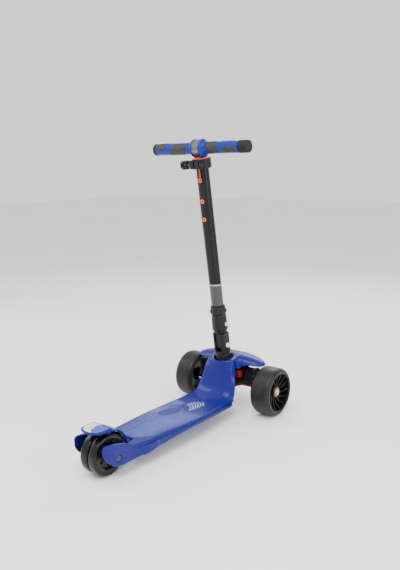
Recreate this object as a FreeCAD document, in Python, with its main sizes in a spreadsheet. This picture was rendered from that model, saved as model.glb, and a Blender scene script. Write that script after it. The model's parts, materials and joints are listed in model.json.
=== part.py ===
import FreeCAD, Part
import functools
import math
import os
import Sketcher

# Three-wheeled lean-to-steer kick scooter, in millimetres.
# +X is the rider's right, +Y is forward, +Z is up. The origin is on the floor, under the middle of
# the overall box. Each sub-part is one labelled object of the document, and each size is a cell
# of the sheet called Sizes.

os.makedirs("parts", exist_ok=True)
doc = FreeCAD.newDocument("kick_scooter")

CELLS = (
    ("front_wheel_radius", 60, "over the tyre"),
    ("front_tyre_width", 54, "over the tyre"),
    ("front_tyre_corner", 11, "rounding of the tyre's shoulders"),
    ("front_mouth_radius", 49, "inside of the front tyre"),
    ("front_barrel_wall", 3, "wall of the front hub's barrel"),
    ("half_track", 119, "from the middle plane to a front wheel's middle"),
    ("front_axle_y", 222.5, "front axle line"),
    ("rear_axle_y", -238.5, "rear axle line"),
    ("rear_wheel_radius", 44, "over the rear tyre"),
    ("rear_tyre_width", 21.6, "one of the two rear wheels"),
    ("rear_wheel_inner", 0.8, "from the middle plane to a rear wheel"),
    ("rear_rim_radius", 31, "inside of the rear tyre"),
    ("axle_radius", 4, "all wheel axles"),
    ("bearing_bore", 4.05, "running fit on the axle"),
    ("bearing_radius", 11, "bearing's outer ring"),
    ("bearing_width", 7, "one bearing"),
    ("boss_radius", 14, "front hub's middle boss"),
    ("blade_count", 15, "fan blades of a front hub"),
    ("ring_radius", 12.2, "coloured ring round the front axle bolt"),
    ("deck_seam", 40, "seam between the two shells"),
    ("shell_wall", 3, "wall of the plastic shells"),
    ("panel_half_width", 44, "flat standing panel of the deck"),
    ("panel_length", 84, "flat standing panel of the deck"),
    ("panel_rear_y", -70, "rear edge of the standing panel"),
    ("panel_rear_z", 52.394, "rear edge of the standing panel"),
    ("panel_slope", 2.0617, "degrees that the panel falls towards the front"),
    ("ear_inner", 25, "inner face of a rear ear"),
    ("ear_outer", 47.8, "outer face of a rear ear"),
    ("ear_wall", 3.5, "wall of a rear ear"),
    ("well_radius", 49.5, "space round the rear wheels"),
    ("recess_radius", 6.6, "recess for the rear axle's head"),
    ("recess_depth", 6, "recess for the rear axle's head"),
    ("stem_base_y", 187.2, "stem axis at the housing's opening"),
    ("stem_base_z", 135.3, "stem axis at the housing's opening"),
    ("stem_lean", 9.05, "degrees that the stem leans back"),
    ("opening_radius", 25, "housing's opening round the stem"),
    ("lean_axis_z", 108, "axis that the stem leans about"),
    ("lean_bolt_radius", 5, "bolt on the lean axis"),
    ("barrel_radius", 11, "barrel on the lean axis"),
    ("barrel_rear_y", 178.6, "rear end of the barrel"),
    ("barrel_front_y", 204.4, "front end of the barrel"),
    ("kingpin_x", 80, "from the middle plane to a kingpin"),
    ("kingpin_radius", 4, "kingpin"),
    ("knuckle_radius", 9.5, "knuckle's barrel"),
    ("steer_arm", 22, "kingpin to tie rod"),
    ("tie_rod_z", 76, "tie rod's middle"),
    ("tie_rod_height", 8, "tie rod"),
    ("tie_pin_radius", 2.75, "pin between knuckle and tie rod"),
    ("paddle_pin_radius", 3.5, "pin between steering fork and tie rod"),
    ("fold_at", 36, "fold axis, along the stem from its base"),
    ("fold_pin_radius", 4, "pin on the fold axis"),
    ("tongue_width", 15.2, "stem's tongue between the fork's cheeks"),
    ("fork_gap", 15.8, "between the fork's cheeks"),
    ("fork_width", 34, "over the fork's cheeks"),
    ("fork_top_radius", 35.5, "top of the cheeks, about the fold axis"),
    ("tube_radius", 15, "outer tube"),
    ("tube_bore", 13.25, "inside of the outer tube"),
    ("tube_bottom", 73, "outer tube, along the stem"),
    ("tube_top", 503, "outer tube, along the stem"),
    ("liner_bore", 11.15, "inside of the plastic liner"),
    ("liner_bottom", 330, "liner, along the stem"),
    ("low_hole", 362, "lower height hole, along the stem"),
    ("high_hole", 405, "upper height hole, along the stem"),
    ("slit_bottom", 454, "round end of the clamp slit"),
    ("hole_radius", 5.5, "height holes and the slit's end"),
    ("slit_width", 6, "clamp slit"),
    ("boss_hole_radius", 2.1, "small hole in each liner boss"),
    ("inner_tube_radius", 11.1, "sliding inner tube"),
    ("inner_tube_wall", 1.5, "sliding inner tube"),
    ("inner_tube_bottom", 340, "inner tube, along the stem"),
    ("inner_tube_top", 504, "inner tube, along the stem"),
    ("sleeve_bottom", 72, "lock sleeve, along the stem"),
    ("sleeve_top", 121, "lock sleeve, along the stem"),
    ("sleeve_bore", 15.5, "lock sleeve round the tube"),
    ("sleeve_radius", 20, "lock sleeve at its widest"),
    ("collar_top", 141, "finger collar, along the stem"),
    ("collar_radius", 21.5, "finger collar's flare"),
    ("clamp_bottom", 481, "clamp, along the stem"),
    ("clamp_top", 503, "clamp, along the stem"),
    ("clamp_radius", 22, "clamp"),
    ("clamp_bolt_y", -24, "clamp bolt behind the stem axis"),
    ("lever_pin_x", -29.5, "cam lever's pin"),
    ("bar_at", 526, "handlebar axis, along the stem"),
    ("bar_radius", 11, "crossbar tube"),
    ("bar_half_length", 134.5, "over the end caps"),
    ("hub_radius", 20, "round joint between inner tube and crossbar"),
    ("hub_left", -10.2, "joint's left face"),
    ("hub_right", 6.2, "joint's right face"),
    ("grip_radius", 14, "grip"),
    ("flange_radius", 21, "grip's hand stop"),
    ("left_cap_length", 9, "left end cap"),
    ("right_cap_length", 25.5, "right end cap"),
    ("brake_pivot_y", -182.5, "hinge of the rear brake"),
    ("brake_pivot_z", 50, "hinge of the rear brake"),
    ("brake_inner_radius", 49.5, "brake's arch, about the rear axle"),
    ("brake_wall", 4, "brake's arch"),
    ("brake_top", 105, "brake pedal's top face"),
    ("brake_half_width", 29.5, "brake pedal"),
)

sheet = doc.addObject("Spreadsheet::Sheet", "Sizes")
for row, (alias, number, note) in enumerate(CELLS, start=1):
    sheet.set("A%d" % row, alias.replace("_", " "))
    sheet.set("B%d" % row, str(number))
    sheet.setAlias("B%d" % row, alias)
    sheet.set("C%d" % row, note)
doc.recompute()


class Size:
    """A length with the sheet formula that it comes from."""

    def __init__(self, number, text):
        self.number = number
        self.text = text

    def __add__(self, other):
        return Size(self.number + number_of(other), "(%s + %s)" % (self.text, text_of(other)))

    def __radd__(self, other):
        return Size(number_of(other) + self.number, "(%s + %s)" % (text_of(other), self.text))

    def __sub__(self, other):
        return Size(self.number - number_of(other), "(%s - %s)" % (self.text, text_of(other)))

    def __rsub__(self, other):
        return Size(number_of(other) - self.number, "(%s - %s)" % (text_of(other), self.text))

    def __mul__(self, other):
        return Size(self.number * number_of(other), "(%s * %s)" % (self.text, text_of(other)))

    def __rmul__(self, other):
        return self.__mul__(other)

    def __truediv__(self, other):
        return Size(self.number / number_of(other), "(%s / %s)" % (self.text, text_of(other)))

    def __neg__(self):
        return Size(-self.number, "(0 - %s)" % self.text)


def number_of(value):
    return value.number if isinstance(value, Size) else float(value)


def text_of(value):
    return value.text if isinstance(value, Size) else "%g" % value


def size(alias):
    return Size(float(sheet.get(alias)), "Sizes." + alias)


SIZES = {alias: size(alias) for alias, number, note in CELLS}


class Sizes:
    """Each cell of the sheet as an attribute."""

    def __getattr__(self, alias):
        return SIZES[alias]


S = Sizes()
V = FreeCAD.Vector
X_AXIS = V(1, 0, 0)
Y_AXIS = V(0, 1, 0)
Z_AXIS = V(0, 0, 1)
SUB_PARTS = []


def bind(thing, name, value):
    """Set one property from a number or from a sheet formula."""
    if isinstance(value, Size):
        thing.setExpression(name, value.text)
    else:
        setattr(thing, name, value)


def keep(thing, label):
    """Label a finished object as a sub-part."""
    thing.Label = label
    SUB_PARTS.append(thing)
    return thing


# ---- where things stand --------------------------------------------------------------------

def stem_placement():
    """Local Z runs up the stem axis, from the housing's opening."""
    lean = FreeCAD.Rotation(X_AXIS, S.stem_lean.number)
    return FreeCAD.Placement(V(0, S.stem_base_y.number, S.stem_base_z.number), lean)


def front_wheel_placement(side):
    """Local +X points outward from the scooter, from the wheel's middle."""
    turn = FreeCAD.Rotation(Z_AXIS, 0 if side > 0 else 180)
    centre = V(side * S.half_track.number, S.front_axle_y.number, S.front_wheel_radius.number)
    return FreeCAD.Placement(centre, turn)


def rear_wheel_placement(side):
    """Local +X points outward, from the middle plane."""
    turn = FreeCAD.Rotation(Z_AXIS, 0 if side > 0 else 180)
    centre = V(0, S.rear_axle_y.number, S.rear_wheel_radius.number)
    return FreeCAD.Placement(centre, turn)


STEM = stem_placement()
HOME = FreeCAD.Placement()
SIDES = ((1, "right"), (-1, "left"))


# ---- PartDesign bodies ---------------------------------------------------------------------

def new_body(label, placement=HOME):
    body = doc.addObject("PartDesign::Body", label)
    body.Placement = placement
    return body


def add_sketch(body, plane, name):
    sketch = body.newObject("Sketcher::SketchObject", name)
    origin_plane = [part for part in body.Origin.OriginFeatures if part.Role == plane][0]
    sketch.AttachmentSupport = [(origin_plane, "")]
    sketch.MapMode = "FlatFace"
    return sketch


def fix(sketch, kind, geometry, point, value):
    """Hold one point of the sketch at a distance from the sketch's origin."""
    index = sketch.addConstraint(Sketcher.Constraint(kind, -1, 1, geometry, point, number_of(value)))
    if isinstance(value, Size):
        sketch.setExpression("Constraints[%d]" % index, value.text)


def draw_outline(sketch, corners):
    """A closed outline of straight edges through the corners."""
    first = sketch.GeometryCount
    count = len(corners)
    spots = [V(number_of(across), number_of(up), 0) for across, up in corners]
    for index in range(count):
        sketch.addGeometry(Part.LineSegment(spots[index], spots[(index + 1) % count]), False)
    for index in range(count):
        after = first + (index + 1) % count
        sketch.addConstraint(Sketcher.Constraint("Coincident", first + index, 2, after, 1))
    for index, (across, up) in enumerate(corners):
        fix(sketch, "DistanceX", first + index, 1, across)
        fix(sketch, "DistanceY", first + index, 1, up)


def draw_circle(sketch, across, up, radius):
    index = sketch.GeometryCount
    centre = V(number_of(across), number_of(up), 0)
    sketch.addGeometry(Part.Circle(centre, Z_AXIS, number_of(radius)), False)
    fix(sketch, "DistanceX", index, 3, across)
    fix(sketch, "DistanceY", index, 3, up)
    rule = sketch.addConstraint(Sketcher.Constraint("Radius", index, number_of(radius)))
    if isinstance(radius, Size):
        sketch.setExpression("Constraints[%d]" % rule, radius.text)


def turn_profile(body, name, plane, axis, corners):
    """A solid of revolution about one axis of the sketch, added to the body."""
    sketch = add_sketch(body, plane, name + "_profile")
    draw_outline(sketch, corners)
    feature = body.newObject("PartDesign::Revolution", name)
    feature.Profile = sketch
    feature.ReferenceAxis = (sketch, [axis])
    feature.Angle = 360
    body.Tip = feature
    return feature


def turned_on_stem(label, corners):
    """A turned sub-part: corners are (radius, height along the stem)."""
    body = keep(new_body(label, STEM), label)
    turn_profile(body, label + "_turning", "XZ_Plane", "V_Axis", corners)
    return body


def turned_on_axle(label, placement, corners):
    """A turned sub-part: corners are (distance along the axle, radius)."""
    body = keep(new_body(label, placement), label)
    turn_profile(body, label + "_turning", "XY_Plane", "H_Axis", corners)
    return body


def pad(body, name, sketch, length, both_ways=True):
    feature = body.newObject("PartDesign::Pad", name)
    feature.Profile = sketch
    feature.Midplane = both_ways
    bind(feature, "Length", length)
    body.Tip = feature
    return feature


def pocket(body, name, sketch):
    """Cut the sketch through everything, both ways."""
    feature = body.newObject("PartDesign::Pocket", name)
    feature.Profile = sketch
    feature.Type = "ThroughAll"
    feature.Midplane = True
    body.Tip = feature
    return feature


# ---- primitives and booleans ---------------------------------------------------------------

def box(name, low, high, placement=HOME):
    """A block between two corners, each a triple of sizes, in the placement's own frame."""
    thing = doc.addObject("Part::Box", name)
    for index, length in enumerate(("Length", "Width", "Height")):
        bind(thing, length, high[index] - low[index])
    corner = V(*[number_of(value) for value in low])
    thing.Placement = placement.multiply(FreeCAD.Placement(corner, FreeCAD.Rotation()))
    return thing


def rod(name, start, along, radius, length, placement=HOME):
    """A cylinder from start along a direction, in the placement's own frame."""
    thing = doc.addObject("Part::Cylinder", name)
    bind(thing, "Radius", radius)
    bind(thing, "Height", length)
    corner = V(*[number_of(value) for value in start])
    turn = FreeCAD.Rotation(Z_AXIS, along)
    thing.Placement = placement.multiply(FreeCAD.Placement(corner, turn))
    return thing


def prism(name, start, along, radius, length, placement=HOME):
    """A hexagonal prism, such as a bolt's head, from start along a direction."""
    thing = doc.addObject("Part::Prism", name)
    thing.Polygon = 6
    bind(thing, "Circumradius", radius)
    bind(thing, "Height", length)
    corner = V(*[number_of(value) for value in start])
    turn = FreeCAD.Rotation(Z_AXIS, along)
    thing.Placement = placement.multiply(FreeCAD.Placement(corner, turn))
    return thing


def fuse(name, things):
    union = doc.addObject("Part::MultiFuse", name)
    union.Shapes = things
    return union


def cut(name, base, tools):
    """Base without the tools."""
    tool = tools[0] if len(tools) == 1 else fuse(name + "_tools", tools)
    result = doc.addObject("Part::Cut", name)
    result.Base = base
    result.Tool = tool
    return result


def group(label, things):
    """Several separate solids, such as a set of screws, in one sub-part."""
    compound = doc.addObject("Part::Compound", label)
    compound.Links = things
    return keep(compound, label)


def plate(name, outline, along, thickness, placement=HOME):
    """A flat plate: a polygon of points, pushed along a direction."""
    wire = Part.makePolygon([V(*point) for point in outline + outline[:1]])
    solid = Part.Face(wire).extrude(along * thickness)
    thing = doc.addObject("Part::Feature", name)
    thing.Shape = solid
    thing.Placement = placement
    return thing


def shape_feature(name, shape, placement=HOME):
    thing = doc.addObject("Part::Feature", name)
    thing.Shape = shape
    thing.Placement = placement
    return thing


# ---- deck and front housing ----------------------------------------------------------------

def rounded_section(left, right, low, high, radius, place):
    """A closed rounded rectangle; place turns (across, up) into a point."""
    corners = ((right, low, -90), (right, high, 0), (left, high, 90), (left, low, 180))
    edges = []
    ends = []
    for across, up, start in corners:
        centre_across = across - math.copysign(radius, across - (left + right) / 2)
        centre_up = up - math.copysign(radius, up - (low + high) / 2)
        points = []
        for angle in (start, start + 45, start + 90):
            turn = math.radians(angle)
            point_across = centre_across + radius * math.cos(turn)
            point_up = centre_up + radius * math.sin(turn)
            points.append(place(point_across, point_up))
        ends.append((points[0], points[2]))
        edges.append(Part.Arc(*points).toShape())
    ring = []
    for index in range(4):
        ring.append(edges[index])
        ring.append(Part.LineSegment(ends[index][1], ends[(index + 1) % 4][0]).toShape())
    return Part.Wire(ring)


BEAM_BOLT_SPOTS = ((-11, 92), (11, 92), (-11, 110), (11, 110))
DECK_STATIONS = (
    # y, half width, underside, top face
    (-205.0, 53.0, 26.0, 55.4),
    (-158.5, 55.8, 27.0, 54.8),
    (-78.5, 60.0, 31.5, 53.2),
    (21.5, 63.6, 34.0, 49.6),
    (101.5, 60.5, 29.5, 49.2),
    (139.5, 52.0, 32.0, 52.0),
)
PILLAR_STATIONS = (
    # z, half width, rear face y, front face y
    (44.0, 50.0, 128.0, 248.0),
    (64.0, 47.0, 140.0, 252.0),
    (83.0, 44.5, 152.0, 254.0),
    (112.0, 41.0, 162.0, 255.0),
    (134.0, 38.0, 171.5, 252.0),
)
WING_STATIONS = (
    # x, rear y, front y, underside, crown
    (-99.0, 206.0, 240.0, 122.6, 127.0),
    (-85.0, 200.0, 248.0, 122.6, 133.5),
    (-50.0, 192.0, 256.0, 116.0, 140.5),
    (0.0, 186.0, 258.0, 112.0, 144.0),
    (50.0, 192.0, 256.0, 116.0, 140.5),
    (85.0, 200.0, 248.0, 122.6, 133.5),
    (99.0, 206.0, 240.0, 122.6, 127.0),
)


WINDOW_REAR_Y = 176
WINDOW_FRONT_Y = 241
WINDOW_TOP = 112


def on_cross_plane(y, across, up):
    return V(across, y, up)


def on_level_plane(z, across, along):
    return V(across, along, z)


def deck_loft(inset):
    wires = []
    for y, half, low, high in DECK_STATIONS:
        half = half - inset
        place = functools.partial(on_cross_plane, y)
        wires.append(rounded_section(-half, half, low + inset, high - inset, 8 - inset, place))
    return Part.makeLoft(wires, True, True)


def pillar_loft(inset):
    wires = []
    for z, half, rear, front in PILLAR_STATIONS:
        half = half - inset
        place = functools.partial(on_level_plane, z)
        wires.append(rounded_section(-half, half, rear + inset, front - inset, 12 - inset, place))
    return Part.makeLoft(wires, True, True)


def wing_section(x, rear, front, low, crown):
    """Flat underside with an arched crown."""
    middle = (rear + front) / 2
    shoulder = low + 0.35 * (crown - low)
    first = Part.LineSegment(V(x, front, shoulder), V(x, front, low)).toShape()
    second = Part.LineSegment(V(x, front, low), V(x, rear, low)).toShape()
    third = Part.LineSegment(V(x, rear, low), V(x, rear, shoulder)).toShape()
    arch = Part.Arc(V(x, rear, shoulder), V(x, middle, crown), V(x, front, shoulder)).toShape()
    return Part.Wire([first, second, third, arch])


def wing_loft(inset, drop):
    wires = []
    for x, rear, front, low, crown in WING_STATIONS:
        wires.append(wing_section(x, rear + inset, front - inset, low - drop, crown - inset))
    return Part.makeLoft(wires, True, True)


def ramp(inset):
    """Slope from the deck up to the rear of the housing."""
    side = ((88, 44), (88, 47.5), (108, 51.5), (126, 60), (142, 76), (160, 96), (166, 110), (166, 44))
    half = 43 - inset
    points = [V(-half, y, z) for y, z in side]
    wire = Part.makePolygon(points + points[:1])
    solid = Part.Face(wire).extrude(X_AXIS * 2 * half)
    solid.translate(V(0, 1.2 * inset, -1.2 * inset))
    return solid


def block(low, high):
    return Part.makeBox(high[0] - low[0], high[1] - low[1], high[2] - low[2], V(*low))


def stem_cylinder(radius, start, stop):
    axis = STEM.Rotation.multVec(Z_AXIS)
    return Part.makeCylinder(radius, stop - start, STEM.Base + axis * start, axis)


def standing_panel():
    """Space above the shallow flat panel that the rider stands on; the deck falls to the front."""
    half = S.panel_half_width.number
    tool = Part.makeBox(2 * half, S.panel_length.number, 6)
    turn = FreeCAD.Rotation(X_AXIS, -S.panel_slope.number)
    tool.Placement = FreeCAD.Placement(V(-half, S.panel_rear_y.number, S.panel_rear_z.number), turn)
    return tool


def blue_shells():
    """The hollow moulding of deck, housing and wings, split at the seam."""
    wall = S.shell_wall.number
    axle_y = S.rear_axle_y.number
    axle_z = S.rear_wheel_radius.number
    seam = S.deck_seam.number
    deck_outer = deck_loft(0)
    outer = deck_outer.fuse([pillar_loft(0), wing_loft(0, 0), ramp(0)])
    deck_inner = deck_loft(wall)
    pillar_inner = pillar_loft(wall)
    inner = deck_inner.fuse([pillar_inner, wing_loft(wall, 12), ramp(wall)])
    # the front of the deck and the foot of the housing are open to each other
    inner = inner.fuse(block((-40, 120, 20), (40, 205, 50)))
    shell = outer.cut(inner).cut(standing_panel())
    shell = shell.cut(stem_cylinder(S.opening_radius.number, -30, 40))
    # side windows for the steering arms, and the open underside of the nose
    for side, _ in SIDES:
        low_x = min(side * 28, side * 60)
        shell = shell.cut(block((low_x, WINDOW_REAR_Y, 20), (low_x + 32, WINDOW_FRONT_Y, WINDOW_TOP)))
    shell = shell.cut(block((-60, 190.5, 20), (60, 270, 66)))
    # rear wheel well, with a notch for the brake's hinge
    half_well = S.ear_inner.number - 0.2
    well_start = V(-half_well, axle_y, axle_z)
    well = Part.makeCylinder(S.well_radius.number + 7, 2 * half_well, well_start, X_AXIS)
    shell = shell.cut(well)
    shell = shell.cut(block((-23, axle_y + 40, 34), (23, axle_y + 66, 60)))
    pin_y = S.brake_pivot_y.number
    pin_z = S.brake_pivot_z.number
    shell = shell.cut(Part.makeCylinder(2.5, 49.6, V(-24.8, pin_y, pin_z), X_AXIS))
    for across, along in BEAM_BOLT_SPOTS:
        shell = shell.cut(Part.makeCylinder(2.6, 20, V(across, along, 20), Z_AXIS))
    above = block((-200, -300, seam), (200, 300, 200))
    below = block((-200, -300, 0), (200, 300, seam))
    top = shell.common(above)
    bottom = shell.common(below)
    bottom = bottom.cut(block((-60, 139.6, 0), (60, 300, 60)))
    return top, bottom


EAR_OUTLINE = (
    # y from the rear axle, z
    (-40, 79), (-40, 61), (-33, 50), (-20, 37), (-6, 28.5), (11, 25.5), (43, 24.5), (76, 26.5),
    (76, 40), (50, 40), (46, 48), (30, 60), (12, 70), (-12, 77),
)


def ear(side):
    """A hollow ear that carries one end of the rear axle."""
    axle_y = S.rear_axle_y.number
    axle_z = S.rear_wheel_radius.number
    inner = S.ear_inner.number
    outer = S.ear_outer.number
    points = [V(inner, axle_y + y, z) for y, z in EAR_OUTLINE]
    solid = Part.Face(Part.makePolygon(points + points[:1])).extrude(X_AXIS * (outer - inner))
    wire = Part.Face(Part.makePolygon(points + points[:1])).makeOffset2D(-S.ear_wall.number)
    hollow = wire.extrude(X_AXIS * (outer - inner - S.ear_wall.number))
    boss = Part.makeCylinder(11, outer - inner, V(inner, axle_y, axle_z), X_AXIS)
    solid = solid.cut(hollow).fuse(boss)
    bore = Part.makeCylinder(S.axle_radius.number, outer, V(0, axle_y, axle_z), X_AXIS)
    depth = S.recess_depth.number
    recess = Part.makeCylinder(S.recess_radius.number, depth, V(outer - depth, axle_y, axle_z), X_AXIS)
    solid = solid.cut(bore).cut(recess).removeSplitter()
    if side < 0:
        solid = solid.mirror(V(0, 0, 0), X_AXIS)
    return solid


def make_shells():
    top, bottom = blue_shells()
    ears = [ear(side) for side, _ in SIDES]
    top = top.cut(ears)
    bottom = bottom.cut(Part.makeCompound([block((-60, -290, 0), (60, -165, 60))]))
    floor = block((-47.8, -186, 26.5), (47.8, -165, 29.5))
    bottom = bottom.fuse(ears + [floor]).removeSplitter()
    keep(shape_feature("top_shell_solid", top), "deck_top_shell")
    keep(shape_feature("bottom_shell_solid", bottom), "deck_bottom_shell")


make_shells()


# ---- front beam, arms and lean stops -------------------------------------------------------

def make_front_beam():
    """Black casting: tail inside the deck, lean-bolt lugs, cross bar and kingpin forks."""
    axle_y = S.front_axle_y
    rear_lug_y = S.barrel_rear_y - 0.6
    front_lug_y = S.barrel_front_y + 0.6
    eye = 8.5
    solids = [
        box("beam_tail", (-18, 84, 35.2), (18, 142, 43.2)),
        box("beam_riser", (-18, 130, 43.2), (18, 142, 54)),
        box("beam_floor", (-18, 142, 46), (18, rear_lug_y, 54)),
        box("beam_keel", (-8, rear_lug_y, 46), (8, axle_y + 11, 54)),
        box("beam_rear_lug", (-16, rear_lug_y - 6, 54), (16, rear_lug_y, 112)),
        box("beam_front_lug", (-13, front_lug_y, 76), (13, axle_y - 11, 119)),
        box("beam_web", (-8, axle_y - 11, 54), (8, axle_y + 11, 76)),
        box("beam_bar", (-68, axle_y - 11, 76), (68, axle_y + 11, 106)),
    ]
    for side, name in SIDES:
        near = min(side * 23, side * 47)
        solids.append(box("beam_shelf_" + name, (near, 194, 82.5), (near + 24, axle_y - 11, 86)))
        inner = min(side * 60, side * S.kingpin_x.number)
        reach = S.kingpin_x - 60
        tip_low = (inner, axle_y - eye, 94)
        tip_high = (inner + reach, axle_y + eye, 106)
        solids.append(box("beam_tip_" + name, tip_low, tip_high))
        pin_x = S.kingpin_x * side
        solids.append(rod("beam_eye_" + name, (pin_x, axle_y, 94), Z_AXIS, eye, 12))
    tools = [rod("beam_lean_bore", (0, 150, S.lean_axis_z), Y_AXIS, S.lean_bolt_radius, 75)]
    for side, name in SIDES:
        pin_x = S.kingpin_x * side
        tools.append(rod("beam_kingpin_bore_" + name, (pin_x, axle_y, 90), Z_AXIS, S.kingpin_radius, 20))
        tools.append(rod("beam_pocket_" + name, (40 * side, axle_y - 12, 91), Y_AXIS, 9, 8))
    for index, (across, along) in enumerate(BEAM_BOLT_SPOTS):
        tools.append(rod("beam_bolt_bore_%d" % index, (across, along, 30), Z_AXIS, 2.5, 16))
    keep(cut("front_beam_casting", fuse("front_beam_solids", solids), tools), "front_beam")


ARM_OUTLINE = (
    # x outward, z
    (8.2, 46), (20, 51.5), (34, 57), (60, 57.5), (66, 45), (79, 45), (79, 51), (69, 53), (68, 60),
    (67.5, 75.8), (8.2, 75.8),
)
ARM_HOLES = ((27, 65.5, 4.6), (50, 66.5, 4.6))
ARM_THICKNESS = 5.0


def make_lower_arm(side, name):
    """Red stamped brace under the beam; its end holds the kingpin's foot."""
    axle_y = S.front_axle_y.number
    outline = [(side * x, axle_y - ARM_THICKNESS / 2, z) for x, z in ARM_OUTLINE]
    web = plate("arm_web_" + name, outline, Y_AXIS, ARM_THICKNESS)
    eye = rod("arm_eye_" + name, (S.kingpin_x * side, axle_y, 44), Z_AXIS, 8, 8)
    tools = [rod("arm_bore_" + name, (S.kingpin_x * side, axle_y, 40), Z_AXIS, S.kingpin_radius, 20)]
    for index, (x, z, radius) in enumerate(ARM_HOLES):
        tools.append(rod("arm_hole_%s_%d" % (name, index), (side * x, axle_y - 10, z), Y_AXIS, radius, 20))
    return cut("arm_" + name, fuse("arm_solids_" + name, [web, eye]), tools)


def make_lean_cushion(side, name):
    """Elastomer block under one wing of the steering fork: it brings the stem back upright."""
    near = min(side * 25, side * 45)
    block_solid = box("cushion_block_" + name, (near, 195.5, 86), (near + 20, 208.5, 103.7))
    rounded = doc.addObject("Part::Fillet", "cushion_" + name)
    rounded.Base = block_solid
    rounded.Edges = [(edge, 2.0, 2.0) for edge in (1, 3, 5, 7)]
    return rounded


make_front_beam()
group("lower_arms", [make_lower_arm(side, name) for side, name in SIDES])
group("lean_cushions", [make_lean_cushion(side, name) for side, name in SIDES])


# ---- bolts, pins and bearings --------------------------------------------------------------

def make_bolt(label, start, along, radius, length, head_radius, head_height, placement=HOME):
    """A hexagon-headed bolt: the head ends at start and the shank runs along the direction."""
    head_start = V(*[number_of(value) for value in start]) - along * head_height
    head = prism(label + "_head", tuple(head_start), along, head_radius, head_height, placement)
    shank = rod(label + "_shank", start, along, radius, length, placement)
    return fuse(label + "_bolt", [head, shank])


def make_ring(name, start, along, outer, inner, length, placement=HOME):
    blank = rod(name + "_blank", start, along, outer, length, placement)
    hole = rod(name + "_hole", start, along, inner, length, placement)
    return cut(name, blank, [hole])


def make_nut(name, start, along, bore, radius, length, placement=HOME):
    blank = prism(name + "_blank", start, along, radius, length, placement)
    hole = rod(name + "_hole", start, along, bore, length, placement)
    return cut(name, blank, [hole])


def make_root_fasteners():
    lean_start = (0, S.barrel_rear_y - 6.6, S.lean_axis_z)
    keep(make_bolt("lean_bolt", lean_start, Y_AXIS, S.lean_bolt_radius, 50, 8, 4.5), "lean_bolt")
    bolts = []
    for index, (across, along) in enumerate(BEAM_BOLT_SPOTS):
        bolts.append(make_bolt("beam_bolt_%d" % index, (across, along, 29.4), Z_AXIS, 2.5, 13, 4.6, 2.6))
    group("beam_bolts", bolts)
    kingpins = []
    for side, name in SIDES:
        top = (S.kingpin_x * side, S.front_axle_y, 106)
        bolt = make_bolt("kingpin_" + name, top, -Z_AXIS, S.kingpin_radius, 67, 6.5, 5)
        nut = prism("kingpin_foot_" + name, (S.kingpin_x * side, S.front_axle_y, 38), Z_AXIS, 6.5, 6)
        kingpins.append(fuse("kingpin_solid_" + name, [bolt, nut]))
    group("kingpins", kingpins)


def make_rear_axle():
    """Axle bolt across both ears, its nut, and the washers that keep the wheels apart."""
    y = S.rear_axle_y
    z = S.rear_wheel_radius
    seat = S.ear_outer - S.recess_depth
    bolt = make_bolt("rear_axle", (seat, y, z), -X_AXIS, S.axle_radius, 2 * seat + 5, 6.4, 4.5)
    keep(bolt, "rear_axle_bolt")
    outer_start = S.rear_wheel_inner + S.rear_tyre_width + 0.3
    rings = [make_nut("rear_nut", (-seat, y, z), -X_AXIS, S.axle_radius, 6.4, 4.8)]
    rings.append(make_ring("washer_middle", (-0.5, y, z), X_AXIS, 7, S.axle_radius, 1.0))
    gap = S.ear_inner - outer_start
    for side, name in SIDES:
        start = (outer_start * side, y, z)
        rings.append(make_ring("washer_" + name, start, X_AXIS * side, 7, S.axle_radius, gap))
    group("rear_axle_nut_and_washers", rings)


make_root_fasteners()
make_rear_axle()


# ---- rear wheels ---------------------------------------------------------------------------

def make_bearings(label, placement, starts):
    rings = []
    radii = (S.bearing_radius, S.bearing_bore)
    for index, start in enumerate(starts):
        ring_name = "%s_%d" % (label, index)
        rings.append(make_ring(ring_name, (start, 0, 0), X_AXIS, *radii, S.bearing_width, placement))
    group(label, rings)


def make_rear_wheel(side, name):
    place = rear_wheel_placement(side)
    inner = S.rear_wheel_inner
    outer = inner + S.rear_tyre_width
    top = S.rear_wheel_radius
    rim = S.rear_rim_radius
    turned_on_axle("rear_tyre_" + name, place, (
        (inner + 1.5, rim), (inner, rim + 3), (inner, top - 7), (inner + 2, top - 2.6),
        (inner + 6, top - 0.4), (inner + 10.8, top), (outer - 6, top - 0.4), (outer - 2, top - 2.6),
        (outer, top - 7), (outer, rim + 3), (outer - 1.5, rim),
    ))
    seat = S.bearing_radius
    wide = S.bearing_width
    hub = turned_on_axle("rear_hub_" + name, place, (
        (inner + 0.2, seat), (inner + 0.2, seat + 3.5), (inner + 7.5, seat + 4.5), (inner + 7.5, rim - 4.5),
        (inner + 1.5, rim - 2.5), (inner + 1.5, rim), (outer - 1.5, rim), (outer - 1.5, rim - 2.5),
        (outer - 7.5, rim - 4.5), (outer - 7.5, seat + 4.5), (outer - 0.2, seat + 3.5), (outer - 0.2, seat),
        (outer - 0.2 - wide, seat), (outer - 0.2 - wide, seat - 3), (inner + 0.2 + wide, seat - 3),
        (inner + 0.2 + wide, seat),
    ))
    window = add_sketch(hub, "YZ_Plane", "window_" + name)
    draw_circle(window, 0, (seat + rim) / 2, 3.4)
    opening = pocket(hub, "windows_one_" + name, window)
    pattern = hub.newObject("PartDesign::PolarPattern", "windows_" + name)
    pattern.Originals = [opening]
    pattern.Axis = (window, ["N_Axis"])
    pattern.Angle = 360
    pattern.Occurrences = 6
    hub.Tip = pattern
    make_bearings("rear_bearings_" + name, place, (inner + 0.2, outer - 0.2 - wide))


for side, name in SIDES:
    make_rear_wheel(side, name)


# ---- front wheels and knuckles -------------------------------------------------------------

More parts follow.
